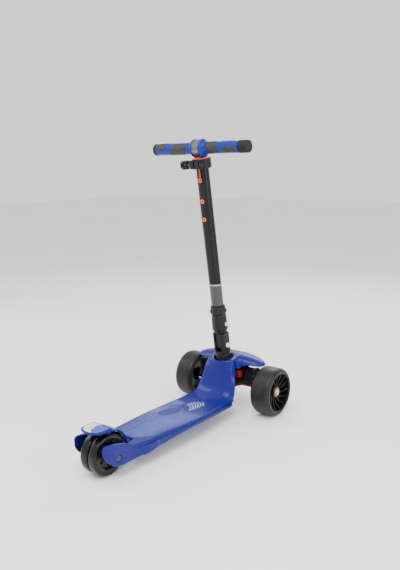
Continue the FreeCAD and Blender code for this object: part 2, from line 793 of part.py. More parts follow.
def make_front_tyre(name, place):
    """Half of the tyre's profile, from its mouth to its middle, and the same mirrored."""
    half = S.front_tyre_width / 2
    top = S.front_wheel_radius
    mouth = S.front_mouth_radius
    corner = S.front_tyre_corner
    crown = 0.8
    from_side = (
        (1.5, mouth), (0, mouth + 1.5), (0.6, top - 0.62 * corner), (0.3 * corner, top - 0.3 * corner),
        (0.62 * corner, top - crown - 0.8), (corner, top - crown),
    )
    outline = [(-half + along, radius) for along, radius in from_side]
    outline.append((0, top))
    outline += [(half - along, radius) for along, radius in reversed(from_side)]
    turned_on_axle("front_tyre_" + name, place, outline)


HUB_INNER_FACE = -19
HUB_OUTER_FACE = 15.6


def make_front_hub(side, name, place):
    """Barrel, dished web, boss and a ring of fan blades."""
    half = S.front_tyre_width / 2 - 1.5
    outer = S.front_mouth_radius
    inner = outer - S.front_barrel_wall
    boss = S.boss_radius
    seat = S.bearing_radius
    shelf = seat - 3
    near = HUB_INNER_FACE
    far = HUB_OUTER_FACE
    web = 2
    hub = turned_on_axle("front_hub_" + name, place, (
        (-half, outer), (half, outer), (half, inner), (web, inner - 1), (web, boss), (far, boss),
        (far, seat), (far - S.bearing_width, seat), (far - S.bearing_width, shelf),
        (near + S.bearing_width, shelf), (near + S.bearing_width, seat), (near, seat),
        (near, boss), (-3, boss), (-3, inner - 1), (-half, inner),
    ))
    blade = add_sketch(hub, "XY_Plane", "blade_" + name)
    draw_outline(blade, (
        (web - 1, boss - 1), (13, boss - 1), (13, boss + 6), (18, inner - 6), (20, inner + 1),
        (web - 1, inner + 1),
    ))
    first = pad(hub, "blade_one_" + name, blade, 2.4)
    fan = hub.newObject("PartDesign::PolarPattern", "fan_" + name)
    fan.Originals = [first]
    fan.Axis = (blade, ["H_Axis"])
    fan.Angle = 360
    bind(fan, "Occurrences", S.blade_count)
    hub.Tip = fan
    ring = S.ring_radius
    bore = 8.6
    turned_on_axle("hub_ring_" + name, place, (
        (far + 0.1, bore), (far + 0.1, ring), (far + 1.8, ring), (far + 2.4, ring - 1), (far + 2.4, bore),
    ))
    make_bearings("front_bearings_" + name, place, (near, far - S.bearing_width))


def make_knuckle(side, name, place):
    """Steering knuckle, seen from the wheel: the kingpin stands at negative local X."""
    pin_x = -(S.half_track - S.kingpin_x)
    arm_y = -side * S.steer_arm
    arm_low = min(0, arm_y.number)
    arm_high = max(0, arm_y.number)
    solids = [
        rod("knuckle_barrel_" + name, (pin_x, 0, -5.5), Z_AXIS, S.knuckle_radius, 39),
        rod("knuckle_stub_" + name, (pin_x, 0, 0), X_AXIS, 7.5, S.half_track - S.kingpin_x - 19.4),
        box("knuckle_arm_" + name, (pin_x - 6, arm_low, 22), (pin_x + 6, arm_high, 28)),
        rod("knuckle_eye_" + name, (pin_x, arm_y, 22), Z_AXIS, 6, 6),
        rod("knuckle_pin_" + name, (pin_x, arm_y, 10), Z_AXIS, S.tie_pin_radius, 14),
    ]
    bores = [
        rod("knuckle_bore_" + name, (pin_x, 0, -10), Z_AXIS, S.kingpin_radius + 0.06, 50),
        rod("knuckle_axle_bore_" + name, (pin_x + 8, 0, 0), X_AXIS, S.axle_radius, 20),
    ]
    casting = cut("knuckle_casting_" + name, fuse("knuckle_solids_" + name, solids), bores)
    casting.Placement = place
    keep(casting, "knuckle_" + name)
    start = (15.9, 0, 0)
    head = rod("front_axle_head_" + name, start, X_AXIS, 8, 3.4, place)
    hexagon = prism("front_axle_hex_" + name, (19.3, 0, 0), X_AXIS, 5, 2, place)
    shank = rod("front_axle_shank_" + name, start, -X_AXIS, S.axle_radius, 46, place)
    keep(fuse("front_axle_" + name, [head, hexagon, shank]), "front_axle_bolt_" + name)


def make_tie_rod():
    """Slides sideways; slots at its ends and middle take the knuckles' and the fork's pins."""
    z = S.tie_rod_z - S.tie_rod_height / 2
    y = S.front_axle_y - S.steer_arm
    high = S.tie_rod_z + S.tie_rod_height / 2
    solids = [
        box("tie_bar", (-S.kingpin_x, y - 4, z), (S.kingpin_x, y + 4, high)),
        box("tie_block", (-9, y - 5, z - 1.5), (9, y + 4, high + 1.5)),
    ]
    tools = []
    slot = S.tie_pin_radius + 0.35
    for side, name in SIDES:
        solids.append(rod("tie_end_" + name, (S.kingpin_x * side, y, z), Z_AXIS, 6.5, S.tie_rod_height))
        middle = S.kingpin_x * side
        low_corner = (middle - slot, y - slot, z - 5)
        high_corner = (middle + slot, y + slot + 1, high + 5)
        tools.append(box("tie_slot_" + name, low_corner, high_corner))
    grip = S.paddle_pin_radius + 0.3
    low_corner = (-grip, y - 10, S.tie_rod_z - grip)
    high_corner = (grip, y + 10, S.tie_rod_z + grip + 0.6)
    tools.append(box("tie_middle_slot", low_corner, high_corner))
    keep(cut("tie_rod_solid", fuse("tie_rod_solids", solids), tools), "tie_rod")


for side, name in SIDES:
    wheel_place = front_wheel_placement(side)
    make_front_tyre(name, wheel_place)
    make_front_hub(side, name, wheel_place)
    make_knuckle(side, name, wheel_place)
make_tie_rod()


# ---- steering fork -------------------------------------------------------------------------

def make_steering_fork():
    """Leans about the barrel: foot with wings and paddle below, folding cheeks above."""
    lean_z = S.lean_axis_z
    length = S.barrel_front_y - S.barrel_rear_y
    low = [
        rod("fork_barrel", (0, S.barrel_rear_y, lean_z), Y_AXIS, S.barrel_radius, length),
        box("fork_wings", (-36, 197, 104), (36, 204, 110)),
        box("fork_paddle", (-8, 185, 71), (8, 191, 104)),
        rod("fork_paddle_pin", (0, 188, S.tie_rod_z), Y_AXIS, S.paddle_pin_radius, 17),
        rod("fork_column", (0, 0, -24), Z_AXIS, 12, 22, STEM),
        rod("fork_base", (0, 0, -6), Z_AXIS, 19, 11, STEM),
        rod("fork_flange", (0, 0, 5), Z_AXIS, 19.3, 12, STEM),
    ]
    half_gap = S.fork_gap / 2
    half_width = S.fork_width / 2
    low.append(rod("fork_neck", (0, 0, 16), Z_AXIS, half_width, 5, STEM))
    low.append(box("fork_front_web", (-half_gap, 13.4, 17), (half_gap, 16.4, 50), STEM))
    for side, name in SIDES:
        cheek = box("cheek_block_" + name, (-half_width, -16.5, 17), (half_width, 16.5, 73), STEM)
        near = half_gap if side > 0 else -half_width
        slab = box("cheek_slab_" + name, (near, -30, 10), (near + (half_width - half_gap), 30, 80), STEM)
        crown = rod("cheek_crown_" + name, (-30, 0, S.fold_at), X_AXIS, S.fork_top_radius, 60, STEM)
        trim = doc.addObject("Part::MultiCommon", "cheek_" + name)
        trim.Shapes = [cheek, slab, crown]
        low.append(trim)
    round_off = rod("fork_round", (0, 0, 16), Z_AXIS, 60, 70, STEM)
    round_core = rod("fork_round_core", (0, 0, 15), Z_AXIS, 20.6, 72, STEM)
    shaver = cut("fork_shaver", round_off, [round_core])
    bores = [
        rod("fork_lean_bore", (0, S.barrel_rear_y - 1, lean_z), Y_AXIS, 7.5, length + 2),
        rod("fork_fold_bore", (-40, 0, S.fold_at), X_AXIS, S.fold_pin_radius, 80, STEM),
        shaver,
    ]
    keep(cut("steering_fork_solid", fuse("steering_fork_solids", low), bores), "steering_fork")
    bush = S.lean_bolt_radius + 0.05
    bushes = []
    for name, start in (("rear", S.barrel_rear_y), ("front", S.barrel_front_y - 9)):
        bushes.append(make_ring("lean_bush_" + name, (0, start, lean_z), Y_AXIS, 7.5, bush, 9))
    group("lean_bushes", bushes)
    head = rod("fold_pin_head", (half_width, 0, S.fold_at), X_AXIS, 7.6, 1.6, STEM)
    dome = rod("fold_pin_dome", (half_width + 1.6, 0, S.fold_at), X_AXIS, 5.6, 2.2, STEM)
    reach = S.fork_width + 4
    shank = rod("fold_pin_shank", (half_width, 0, S.fold_at), -X_AXIS, S.fold_pin_radius, reach, STEM)
    keep(fuse("fold_pin_solid", [head, dome, shank]), "fold_pin")
    start = (-half_width, 0, S.fold_at)
    nut = make_nut("fold_nut_ring", start, -X_AXIS, S.fold_pin_radius, 6.5, 3.8, STEM)
    keep(nut, "fold_nut")


make_steering_fork()


# ---- folding stem --------------------------------------------------------------------------

def make_tongue():
    """Turns on the fold pin between the cheeks; its plug fills the tube's foot."""
    half = S.tongue_width / 2
    eye = rod("tongue_eye", (-half, 0, S.fold_at), X_AXIS, 13, S.tongue_width, STEM)
    bar = box("tongue_bar", (-half, -13, S.fold_at), (half, 13, S.tube_bottom), STEM)
    plug = rod("tongue_plug", (0, 0, S.tube_bottom), Z_AXIS, S.tube_bore, 38, STEM)
    bore = rod("tongue_bore", (-20, 0, S.fold_at), X_AXIS, S.fold_pin_radius + 0.05, 40, STEM)
    keep(cut("tongue_solid", fuse("tongue_solids", [eye, bar, plug]), [bore]), "stem_tongue")


def make_outer_tube():
    """Its pressed bead, hidden in the lock sleeve, holds the lock spring's upper end."""
    bead = S.sleeve_top - 5
    wide = S.tube_radius
    body = turned_on_stem("outer_tube", (
        (S.tube_bore, S.tube_bottom), (wide, S.tube_bottom), (wide, bead), (wide + 1.6, bead),
        (wide + 1.6, bead + 1.8), (wide, bead + 1.8), (wide, S.tube_top), (S.tube_bore, S.tube_top),
    ))
    sketch = add_sketch(body, "XZ_Plane", "height_holes")
    draw_circle(sketch, 0, S.low_hole, S.hole_radius)
    draw_circle(sketch, 0, S.high_hole, S.hole_radius)
    draw_circle(sketch, 0, S.slit_bottom, S.hole_radius)
    rear_cut(body, "height_hole_cut", sketch)
    slit = add_sketch(body, "XZ_Plane", "slit_outline")
    half = S.slit_width / 2
    top = S.tube_top + 1
    draw_outline(slit, ((-half, S.slit_bottom), (half, S.slit_bottom), (half, top), (-half, top)))
    rear_cut(body, "slit_cut", slit)


def rear_cut(body, name, sketch):
    """Cut the tube's rear wall only, from the axis backward."""
    feature = body.newObject("PartDesign::Pocket", name)
    feature.Profile = sketch
    feature.Length = 30
    feature.Reversed = True
    body.Tip = feature


def make_liner():
    """Orange plastic liner: collar on top, a boss in each height hole, key slot inside."""
    outer = S.tube_bore - 0.05
    blank = rod("liner_blank", (0, 0, S.liner_bottom), Z_AXIS, outer, S.tube_top - S.liner_bottom, STEM)
    collar = rod("liner_collar", (0, 0, S.tube_top), Z_AXIS, 20, 1.5, STEM)
    solids = [blank, collar]
    tools = [rod("liner_bore", (0, 0, S.liner_bottom - 1), Z_AXIS, S.liner_bore, 200, STEM)]
    tools.append(box("liner_key_slot", (-2.4, -12.4, S.low_hole - 5), (2.4, 0, S.tube_top + 5), STEM))
    for name, height in (("low", S.low_hole), ("high", S.high_hole), ("top", S.slit_bottom)):
        solids.append(rod("liner_boss_" + name, (0, -12, height), -Y_AXIS, S.hole_radius - 0.2, 2.6, STEM))
        tools.append(rod("liner_hole_" + name, (0, -5, height), -Y_AXIS, S.boss_hole_radius, 12, STEM))
    keep(cut("liner_solid", fuse("liner_solids", solids), tools), "tube_liner")


def make_label():
    """Plain wrap-round sticker, with no lettering."""
    blank = rod("label_blank", (0, 0, 144), Z_AXIS, S.tube_radius + 0.15, 56, STEM)
    core = rod("label_core", (0, 0, 144), Z_AXIS, S.tube_radius, 56, STEM)
    front = box("label_front", (-20, 3, 143), (20, 20, 201), STEM)
    keep(cut("label_solid", blank, [core, front]), "stem_label")


def make_lock_sleeve():
    """Slides on the tube above the fold joint, with a flared finger collar and a rivet."""
    bore = S.sleeve_bore
    low = S.sleeve_bottom
    top = S.sleeve_top
    wide = S.sleeve_radius
    turned_on_stem("lock_sleeve", (
        (bore, low), (17, low), (17.6, low + 5), (wide, low + 8), (wide - 0.3, low + 14), (18.4, top),
        (bore, top), (bore, top - 3), (17, top - 3), (17, low + 22), (bore, low + 22),
    ))
    flare = S.collar_radius
    end = S.collar_top
    turned_on_stem("finger_collar", (
        (bore, top), (18.6, top), (flare, top + 4), (flare, top + 7), (18, end - 1), (17.4, end),
        (bore, end),
    ))
    keep(rod("sleeve_rivet_solid", (wide - 1.3, 0, low + 22), X_AXIS, 4, 2.2, STEM), "sleeve_rivet")


def make_spring(label, radius, wire, pitch, height, placement):
    """A round-wire compression spring."""
    helix = Part.makeHelix(pitch, height, radius)
    profile = Part.Wire(Part.makeCircle(wire, V(radius, 0, 0), Y_AXIS))
    coil = Part.Wire(helix).makePipeShell([profile], True, True)
    keep(shape_feature(label + "_coil", coil, placement), label)


def make_clamp():
    """Split collar, cross bolt, nut and the cam lever that draws the collar tight."""
    low = S.clamp_bottom
    high = S.clamp_top - 0.2
    bolt_y = S.clamp_bolt_y
    ring = rod("clamp_ring", (0, 0, low), Z_AXIS, S.clamp_radius, high - low, STEM)
    ears = box("clamp_ears", (-12, bolt_y - 7, low + 2), (12, -16, high - 1), STEM)
    tools = [
        rod("clamp_bore", (0, 0, low - 1), Z_AXIS, S.tube_radius, 30, STEM),
        box("clamp_split", (-1.6, -40, low - 1), (1.6, 0, high + 1), STEM),
        rod("clamp_bolt_bore", (-20, bolt_y, low + 11), X_AXIS, 3, 40, STEM),
    ]
    keep(cut("clamp_collar_solid", fuse("clamp_collar_solids", [ring, ears]), tools), "clamp_collar")
    middle = low + 11
    pin_x = S.lever_pin_x
    eye = rod("clamp_eye", (pin_x, bolt_y, middle - 3), Z_AXIS, 4.5, 6, STEM)
    shank = rod("clamp_shank", (pin_x, bolt_y, middle), X_AXIS, 2.9, 49, STEM)
    eye_bore = rod("clamp_eye_bore", (pin_x, bolt_y, middle - 10), Z_AXIS, 2.05, 20, STEM)
    keep(cut("clamp_bolt_solid", fuse("clamp_bolt_solids", [eye, shank]), [eye_bore]), "clamp_bolt")
    nut = make_nut("clamp_nut", (12, bolt_y, middle), X_AXIS, 2.9, 5.6, 5.5, STEM)
    washer = make_ring("clamp_washer", (-20.2, bolt_y, middle), X_AXIS, 5.5, 2.9, 8.2, STEM)
    group("clamp_nut_and_washer", [nut, washer])
    keep(rod("lever_pin_solid", (pin_x, bolt_y, low + 1.5), Z_AXIS, 2, 19, STEM), "lever_pin")
    make_lever(pin_x, bolt_y, low)


def make_lever(pin_x, bolt_y, low):
    cam = rod("lever_cam", (pin_x, bolt_y, low + 1.5), Z_AXIS, 8.6, 19, STEM)
    heel = box("lever_heel", (pin_x - 13, bolt_y - 3, low + 3), (pin_x - 2, bolt_y + 9, low + 18), STEM)
    sector = make_ring("lever_arc", (0, 0, low + 4), Z_AXIS, 38.5, 34.5, 13, STEM)
    zone = ((-60, -25), (-20, -17), (-20, 32), (-60, 32))
    corners = [(across, along, low.number) for across, along in zone]
    keep_zone = plate("lever_zone", corners, Z_AXIS, 30.0, STEM)
    arm = doc.addObject("Part::Common", "lever_arm")
    arm.Base = sector
    arm.Tool = keep_zone
    slot_low = (pin_x - 6.5, bolt_y - 12, low + 7.5)
    slot_high = (pin_x + 15, bolt_y + 12, low + 14.5)
    tools = [
        rod("lever_pin_bore", (pin_x, bolt_y, low - 1), Z_AXIS, 2.06, 30, STEM),
        box("lever_slot", slot_low, slot_high, STEM),
    ]
    keep(cut("clamp_lever_solid", fuse("clamp_lever_solids", [cam, heel, arm]), tools), "clamp_lever")


make_tongue()
make_outer_tube()
make_liner()
make_label()
make_lock_sleeve()
spring_foot = STEM.multiply(FreeCAD.Placement(V(0, 0, 95.2), FreeCAD.Rotation()))
make_spring("lock_spring", 16.0, 0.6, 3.4, 19.5, spring_foot)
make_clamp()


# ---- handlebar -----------------------------------------------------------------------------

def bar_placement():
    """Local X along the crossbar, local Z up the stem."""
    return STEM.multiply(FreeCAD.Placement(V(0, 0, S.bar_at.number), FreeCAD.Rotation()))


BAR = bar_placement()


def turned_on_bar(label, corners):
    """A turned solid round the handlebar: corners are (distance along it, radius)."""
    body = new_body(label, BAR)
    turn_profile(body, label + "_turning", "XY_Plane", "H_Axis", corners)
    return body


def make_inner_tube():
    outer = S.inner_tube_radius
    wall = outer - S.inner_tube_wall
    low = S.inner_tube_bottom
    high = S.inner_tube_top
    body = turned_on_stem("inner_tube", ((wall, low), (outer, low), (outer, high), (wall, high)))
    sketch = add_sketch(body, "XZ_Plane", "button_hole")
    draw_circle(sketch, 0, S.low_hole, 2.1)
    rear_cut(body, "button_hole_cut", sketch)
    button = rod("button_stem", (0, -5, S.low_hole), -Y_AXIS, 2, 6.9, STEM)
    foot = rod("button_foot", (0, -3, S.low_hole), -Y_AXIS, 3.6, 2, STEM)
    keep(fuse("button_solid", [button, foot]), "height_button")
    leaf = [
        box("button_leaf_front", (-3, 7.5, S.low_hole - 14), (3, 8.3, S.low_hole + 8), STEM),
        box("button_leaf_rear", (-3, -2.6, S.low_hole - 14), (3, -1.8, S.low_hole + 3), STEM),
        box("button_leaf_bend", (-3, -2.6, S.low_hole - 14.8), (3, 8.3, S.low_hole - 14), STEM),
    ]
    keep(fuse("button_leaf", leaf), "button_spring")


def make_bar_joint():
    drum = rod("joint_drum", (S.hub_left, 0, 0), X_AXIS, S.hub_radius, S.hub_right - S.hub_left, BAR)
    neck = rod("joint_neck", (0, 0, S.inner_tube_top - 5), Z_AXIS, 5.8, 10, STEM)
    inside = S.inner_tube_radius - S.inner_tube_wall
    spigot = rod("joint_spigot", (0, 0, S.inner_tube_top - 35), Z_AXIS, inside, 35, STEM)
    bore = rod("joint_bore", (-30, 0, 0), X_AXIS, S.bar_radius, 60, BAR)
    solid = fuse("bar_joint_solids", [drum, neck, spigot])
    keep(cut("bar_joint_solid", solid, [bore]), "bar_joint")


def make_crossbar():
    inner = S.bar_radius - 1.8
    end = S.bar_half_length - 3
    corners = ((-end, inner), (-end, S.bar_radius), (end, S.bar_radius), (end, inner))
    keep(turned_on_bar("crossbar", corners), "crossbar")


def make_grip(side, name):
    """Blue grip with a hand stop, black overlay pads and a black end cap."""
    near = S.hub_right + 0.3 if side > 0 else -S.hub_left + 0.3
    cap = S.right_cap_length if side > 0 else S.left_cap_length
    far = S.bar_half_length - cap
    core = S.bar_radius
    stop = S.flange_radius
    skin = S.grip_radius - 0.5
    profile = (
        (near, core), (near, stop - 1.5), (near + 1.5, stop), (near + 6, stop), (near + 9, skin + 0.6),
        (near + 11, skin), (far, skin), (far, core),
    )
    keep(turned_on_bar("grip_" + name, [(x * side, r) for x, r in profile]), "grip_" + name)
    top = S.grip_radius
    end = S.bar_half_length
    cap_profile = (
        (far, core), (far, top), (end - 1.5, top), (end, top - 2.5), (end, 0), (end - 3, 0),
        (end - 3, core),
    )
    caps = turned_on_bar("end_cap_" + name, [(x * side, r) for x, r in cap_profile])
    pads = []
    for index, (start, stop_x, front) in enumerate(PAD_SPANS[name]):
        number = "%s_%d" % (name, index)
        ring = make_ring("pad_ring_" + number, (start, 0, 0), X_AXIS, top, skin, stop_x - start, BAR)
        low_y = -20 if front < 0 else -8
        half = box("pad_half_" + number, (-140, low_y, -20), (140, low_y + 28, 20), BAR)
        patch = doc.addObject("Part::Common", "pad_" + number)
        patch.Base = ring
        patch.Tool = half
        pads.append(patch)
    return caps, pads


PAD_SPANS = {
    # start and end along the bar, and the side that the pad faces
    "right": ((20, 56, -1), (62, 104, 1)),
    "left": ((-84, -34, -1), (-122, -92, 1)),
}

make_inner_tube()
make_bar_joint()
make_crossbar()
end_caps = []
grip_pads = []
for side, name in SIDES:
    cap_body, pad_solids = make_grip(side, name)
    end_caps.append(cap_body)
    grip_pads.extend(pad_solids)
group("bar_end_caps", end_caps)
group("grip_pads", grip_pads)


# ---- rear brake ----------------------------------------------------------------------------

def arc_strip(name, inner, outer, start, stop, half_width):
    """Part of a ring about the rear axle, between two angles from the forward direction."""
    y = S.rear_axle_y.number
    z = S.rear_wheel_radius.number
    middle = (start + stop) / 2
    points = []
    for radius, angles in ((inner, (start, middle, stop)), (outer, (stop, middle, start))):
        for angle in angles:
            turn = math.radians(angle)
            points.append(V(-half_width, y + radius * math.cos(turn), z + radius * math.sin(turn)))
    edges = [
        Part.Arc(points[0], points[1], points[2]).toShape(),
        Part.LineSegment(points[2], points[3]).toShape(),
        Part.Arc(points[3], points[4], points[5]).toShape(),
        Part.LineSegment(points[5], points[0]).toShape(),
    ]
    solid = Part.Face(Part.Wire(edges)).extrude(X_AXIS * 2 * half_width)
    return shape_feature(name, solid)


def pedal_outline(inset, low):
    """Plan of the pedal: straight sides and a round rear end."""
    half = S.brake_half_width.number - inset
    rear = S.rear_axle_y.number - 44 + inset
    front = S.rear_axle_y.number + 4 - inset
    bend = rear + 20
    edges = [
        Part.LineSegment(V(half, bend, low), V(half, front, low)).toShape(),
        Part.LineSegment(V(half, front, low), V(-half, front, low)).toShape(),
        Part.LineSegment(V(-half, front, low), V(-half, bend, low)).toShape(),
        Part.Arc(V(-half, bend, low), V(0, rear, low), V(half, bend, low)).toShape(),
    ]
    return Part.Face(Part.Wire(edges))


def make_brake():
    inner = S.brake_inner_radius.number
    outer = inner + S.brake_wall.number
    top = S.brake_top.number
    arch = arc_strip("brake_arch", inner, outer, 8, 100, 20.5)
    pedal = shape_feature("brake_pedal_plate", pedal_outline(0, top - 5.5).extrude(Z_AXIS * 5))
    bridge = box("brake_bridge", (-20.5, S.rear_axle_y - 9, top - 9), (20.5, S.rear_axle_y + 4, top - 5))
    lug = rod("brake_lug", (-20.5, S.brake_pivot_y, S.brake_pivot_z), X_AXIS, 5.5, 41)
    bore = rod("brake_bore", (-30, S.brake_pivot_y, S.brake_pivot_z), X_AXIS, 2.55, 60)
    solid = fuse("brake_pedal_solids", [arch, pedal, bridge, lug])
    keep(cut("brake_pedal_solid", solid, [bore]), "brake_pedal")
    tread = shape_feature("brake_tread_plate", pedal_outline(3.2, top - 0.5).extrude(Z_AXIS * 0.5))
    keep(tread, "brake_tread")
    keep(arc_strip("brake_shoe_strip", inner - 1.5, inner, 55, 100, 16), "brake_shoe")
    keep(rod("brake_rivet_solid", (0, S.rear_axle_y - 24, top), Z_AXIS, 4, 1.2), "brake_rivet")
    pin = rod("brake_pin_shank", (-24.8, S.brake_pivot_y, S.brake_pivot_z), X_AXIS, 2.5, 49.6)
    keep(pin, "brake_hinge_pin")


make_brake()

# ---- check and write -----------------------------------------------------------------------

doc.recompute()
for thing in doc.Objects:
    if "Invalid" in thing.State or "Error" in thing.State:
        raise RuntimeError("%s failed: %s" % (thing.Name, thing.State))
for thing in SUB_PARTS:
    if thing.Shape.isNull() or not thing.Shape.isValid() or thing.Shape.Volume <= 0:
        raise RuntimeError("%s has no valid shape" % thing.Label)
for thing in SUB_PARTS:
    thing.Shape.exportStep(os.path.join("parts", thing.Label + ".step"))
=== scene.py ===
import json
import math

import bmesh
import bpy
import numpy as np
from mathutils import Matrix, Vector
from mathutils.bvhtree import BVHTree


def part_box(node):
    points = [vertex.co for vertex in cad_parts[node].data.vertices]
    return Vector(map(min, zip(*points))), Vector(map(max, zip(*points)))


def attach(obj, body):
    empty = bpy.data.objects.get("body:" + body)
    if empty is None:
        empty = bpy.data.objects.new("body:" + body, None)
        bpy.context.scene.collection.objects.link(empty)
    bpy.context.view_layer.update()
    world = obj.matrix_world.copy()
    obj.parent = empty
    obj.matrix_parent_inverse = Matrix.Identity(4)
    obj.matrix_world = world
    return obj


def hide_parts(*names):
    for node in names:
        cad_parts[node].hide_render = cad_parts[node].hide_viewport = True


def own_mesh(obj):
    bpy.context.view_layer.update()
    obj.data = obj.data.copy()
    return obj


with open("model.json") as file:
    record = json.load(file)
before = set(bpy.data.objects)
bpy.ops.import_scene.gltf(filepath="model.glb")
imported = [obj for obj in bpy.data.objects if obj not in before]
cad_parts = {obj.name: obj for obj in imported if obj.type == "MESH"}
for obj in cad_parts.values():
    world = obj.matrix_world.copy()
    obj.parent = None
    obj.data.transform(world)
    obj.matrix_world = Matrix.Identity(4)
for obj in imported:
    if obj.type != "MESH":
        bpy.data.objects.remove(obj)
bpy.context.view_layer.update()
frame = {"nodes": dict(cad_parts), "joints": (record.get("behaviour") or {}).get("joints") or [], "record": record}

# Shapes are drawn in millimetres and placed by a matrix that turns them into metres. DECK is the
# row frame itself; STEM has its third axis up the stem, from the housing's opening.
MM = 0.001
JOINTS = {joint["name"]: joint for joint in frame["joints"]}
SIDES = ((1, "right"), (-1, "left"))


def node_mm(node):
    """Lowest and highest corner of a CAD node, in millimetres."""
    low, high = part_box(node)
    return low / MM, high / MM


# ---- places --------------------------------------------------------------------------------

FOLD_AT = 36.0
stem_up = Vector(JOINTS["sleeve_slide"]["axis"]).normalized()
fold_spot = Vector(JOINTS["stem_fold"]["pos_m"])
stem_base = fold_spot / MM - stem_up * FOLD_AT
stem_lean = math.atan2(-stem_up.y, stem_up.z)
BASE_Y, BASE_Z = stem_base.y, stem_base.z
LEAN_SIN, LEAN_COS = math.sin(stem_lean), math.cos(stem_lean)

DECK = Matrix.Diagonal((MM, MM, MM, 1))
STEM = DECK @ Matrix.Translation(stem_base) @ Matrix.Rotation(stem_lean, 4, "X")
BAR_AT = 526.0
BAR = STEM @ Matrix.Translation((0, 0, BAR_AT))


def axle_place(joint, side):
    """First axis outward along the axle, from the joint's place."""
    spot = Vector(JOINTS[joint]["pos_m"]) / MM
    return DECK @ Matrix.Translation(spot) @ Matrix.Rotation(0 if side > 0 else math.pi, 4, "Z")


REAR_AXLE = Vector(JOINTS["rear_wheel_spin_right"]["pos_m"]) / MM

# ---- materials -----------------------------------------------------------------------------


def set_input(node, name, value):
    node.inputs[name].default_value = value


def new_material(name):
    """An empty node material with its tree, shader and object coordinates."""
    material = bpy.data.materials.new(name)
    material.use_nodes = True
    tree = material.node_tree
    shader = tree.nodes["Principled BSDF"]
    coordinates = tree.nodes.new("ShaderNodeTexCoord")
    return material, tree, shader, coordinates.outputs["Object"]


def noise(tree, where, scale, detail=3.0, stretch=None):
    if stretch:
        mapping = tree.nodes.new("ShaderNodeMapping")
        mapping.inputs["Scale"].default_value = stretch
        tree.links.new(where, mapping.inputs["Vector"])
        where = mapping.outputs["Vector"]
    node = tree.nodes.new("ShaderNodeTexNoise")
    set_input(node, "Scale", scale)
    set_input(node, "Detail", detail)
    tree.links.new(where, node.inputs["Vector"])
    return node.outputs["Fac"]


def spread(tree, value, low, high, low_out=0.0, high_out=1.0):
    node = tree.nodes.new("ShaderNodeMapRange")
    for name, number in zip(("From Min", "From Max", "To Min", "To Max"), (low, high, low_out, high_out)):
        set_input(node, name, number)
    tree.links.new(value, node.inputs["Value"])
    return node.outputs["Result"]


def mix(tree, share, first, second):
    """A colour mix; each of the two is a colour or the output of another node."""
    node = tree.nodes.new("ShaderNodeMix")
    node.data_type = "RGBA"
    tree.links.new(share, node.inputs["Factor"])
    for socket, colour in ((node.inputs[6], first), (node.inputs[7], second)):
        if isinstance(colour, tuple):
            socket.default_value = (*colour, 1)
        else:
            tree.links.new(colour, socket)
    return node.outputs[2]


def bump(tree, shader, height, strength, distance):
    """Adds a layer of relief under any that the shader has already."""
    node = tree.nodes.new("ShaderNodeBump")
    set_input(node, "Strength", strength)
    set_input(node, "Distance", distance)
    tree.links.new(height, node.inputs["Height"])
    if shader.inputs["Normal"].is_linked:
        tree.links.new(shader.inputs["Normal"].links[0].from_socket, node.inputs["Normal"])
    tree.links.new(node.outputs["Normal"], shader.inputs["Normal"])


def vary_roughness(tree, shader, where, scale, detail, low, high):
    """Uneven gloss: the roughness drifts between two values."""
    smears = noise(tree, where, scale, detail)
    tree.links.new(spread(tree, smears, 0.3, 0.7, low, high), shader.inputs["Roughness"])


def shade(colour, factor):
    return tuple(min(1.0, channel * factor) for channel in colour)


def finish_material(name, colour, rough, **more):
    """A moulded, painted or plated surface: mottled colour, worn edges, grain and uneven gloss.

    more: metallic, coat, grain (relief in metres), grain_scale, wear (colour on edges), wear_share,
    mottle (share of colour change), rough_spread, stretch (for brushed marks), specular.
    """
    material, tree, shader, where = new_material(name)
    set_input(shader, "Metallic", more.get("metallic", 0.0))
    if "coat" in more:
        set_input(shader, "Coat Weight", more["coat"])
        set_input(shader, "Coat Roughness", 0.08)
    set_input(shader, "Specular IOR Level", more.get("specular", 0.5))
    mottle = more.get("mottle", 0.12)
    clouds = noise(tree, where, more.get("cloud_scale", 22.0), 4.0)
    share = spread(tree, clouds, 0.32, 0.68)
    paint = mix(tree, share, shade(colour, 1 - mottle), shade(colour, 1 + mottle))
    if "wear" in more:
        geometry = tree.nodes.new("ShaderNodeNewGeometry")
        edges = spread(tree, geometry.outputs["Pointiness"], 0.515, 0.60, 0.0, more.get("wear_share", 0.5))
        breakup = spread(tree, noise(tree, where, 260.0, 5.0), 0.35, 0.65)
        product = tree.nodes.new("ShaderNodeMath")
        product.operation = "MULTIPLY"
        tree.links.new(edges, product.inputs[0])
        tree.links.new(breakup, product.inputs[1])
        paint = mix(tree, product.outputs[0], paint, more["wear"])
    tree.links.new(paint, shader.inputs["Base Color"])
    rough_change = more.get("rough_spread", 0.08)
    smears = noise(tree, where, more.get("smear_scale", 60.0), 6.0, more.get("stretch"))
    gloss = spread(tree, smears, 0.3, 0.7, max(0.02, rough - rough_change), rough + rough_change)
    tree.links.new(gloss, shader.inputs["Roughness"])
    grain = more.get("grain", 0.00004)
    grains = noise(tree, where, more.get("grain_scale", 1400.0), 2.0, more.get("stretch"))
    bump(tree, shader, grains, 0.6, grain)
    return material


BLUE = (0.0075, 0.0090, 0.145)
BLUE_PALE = (0.022, 0.040, 0.33)

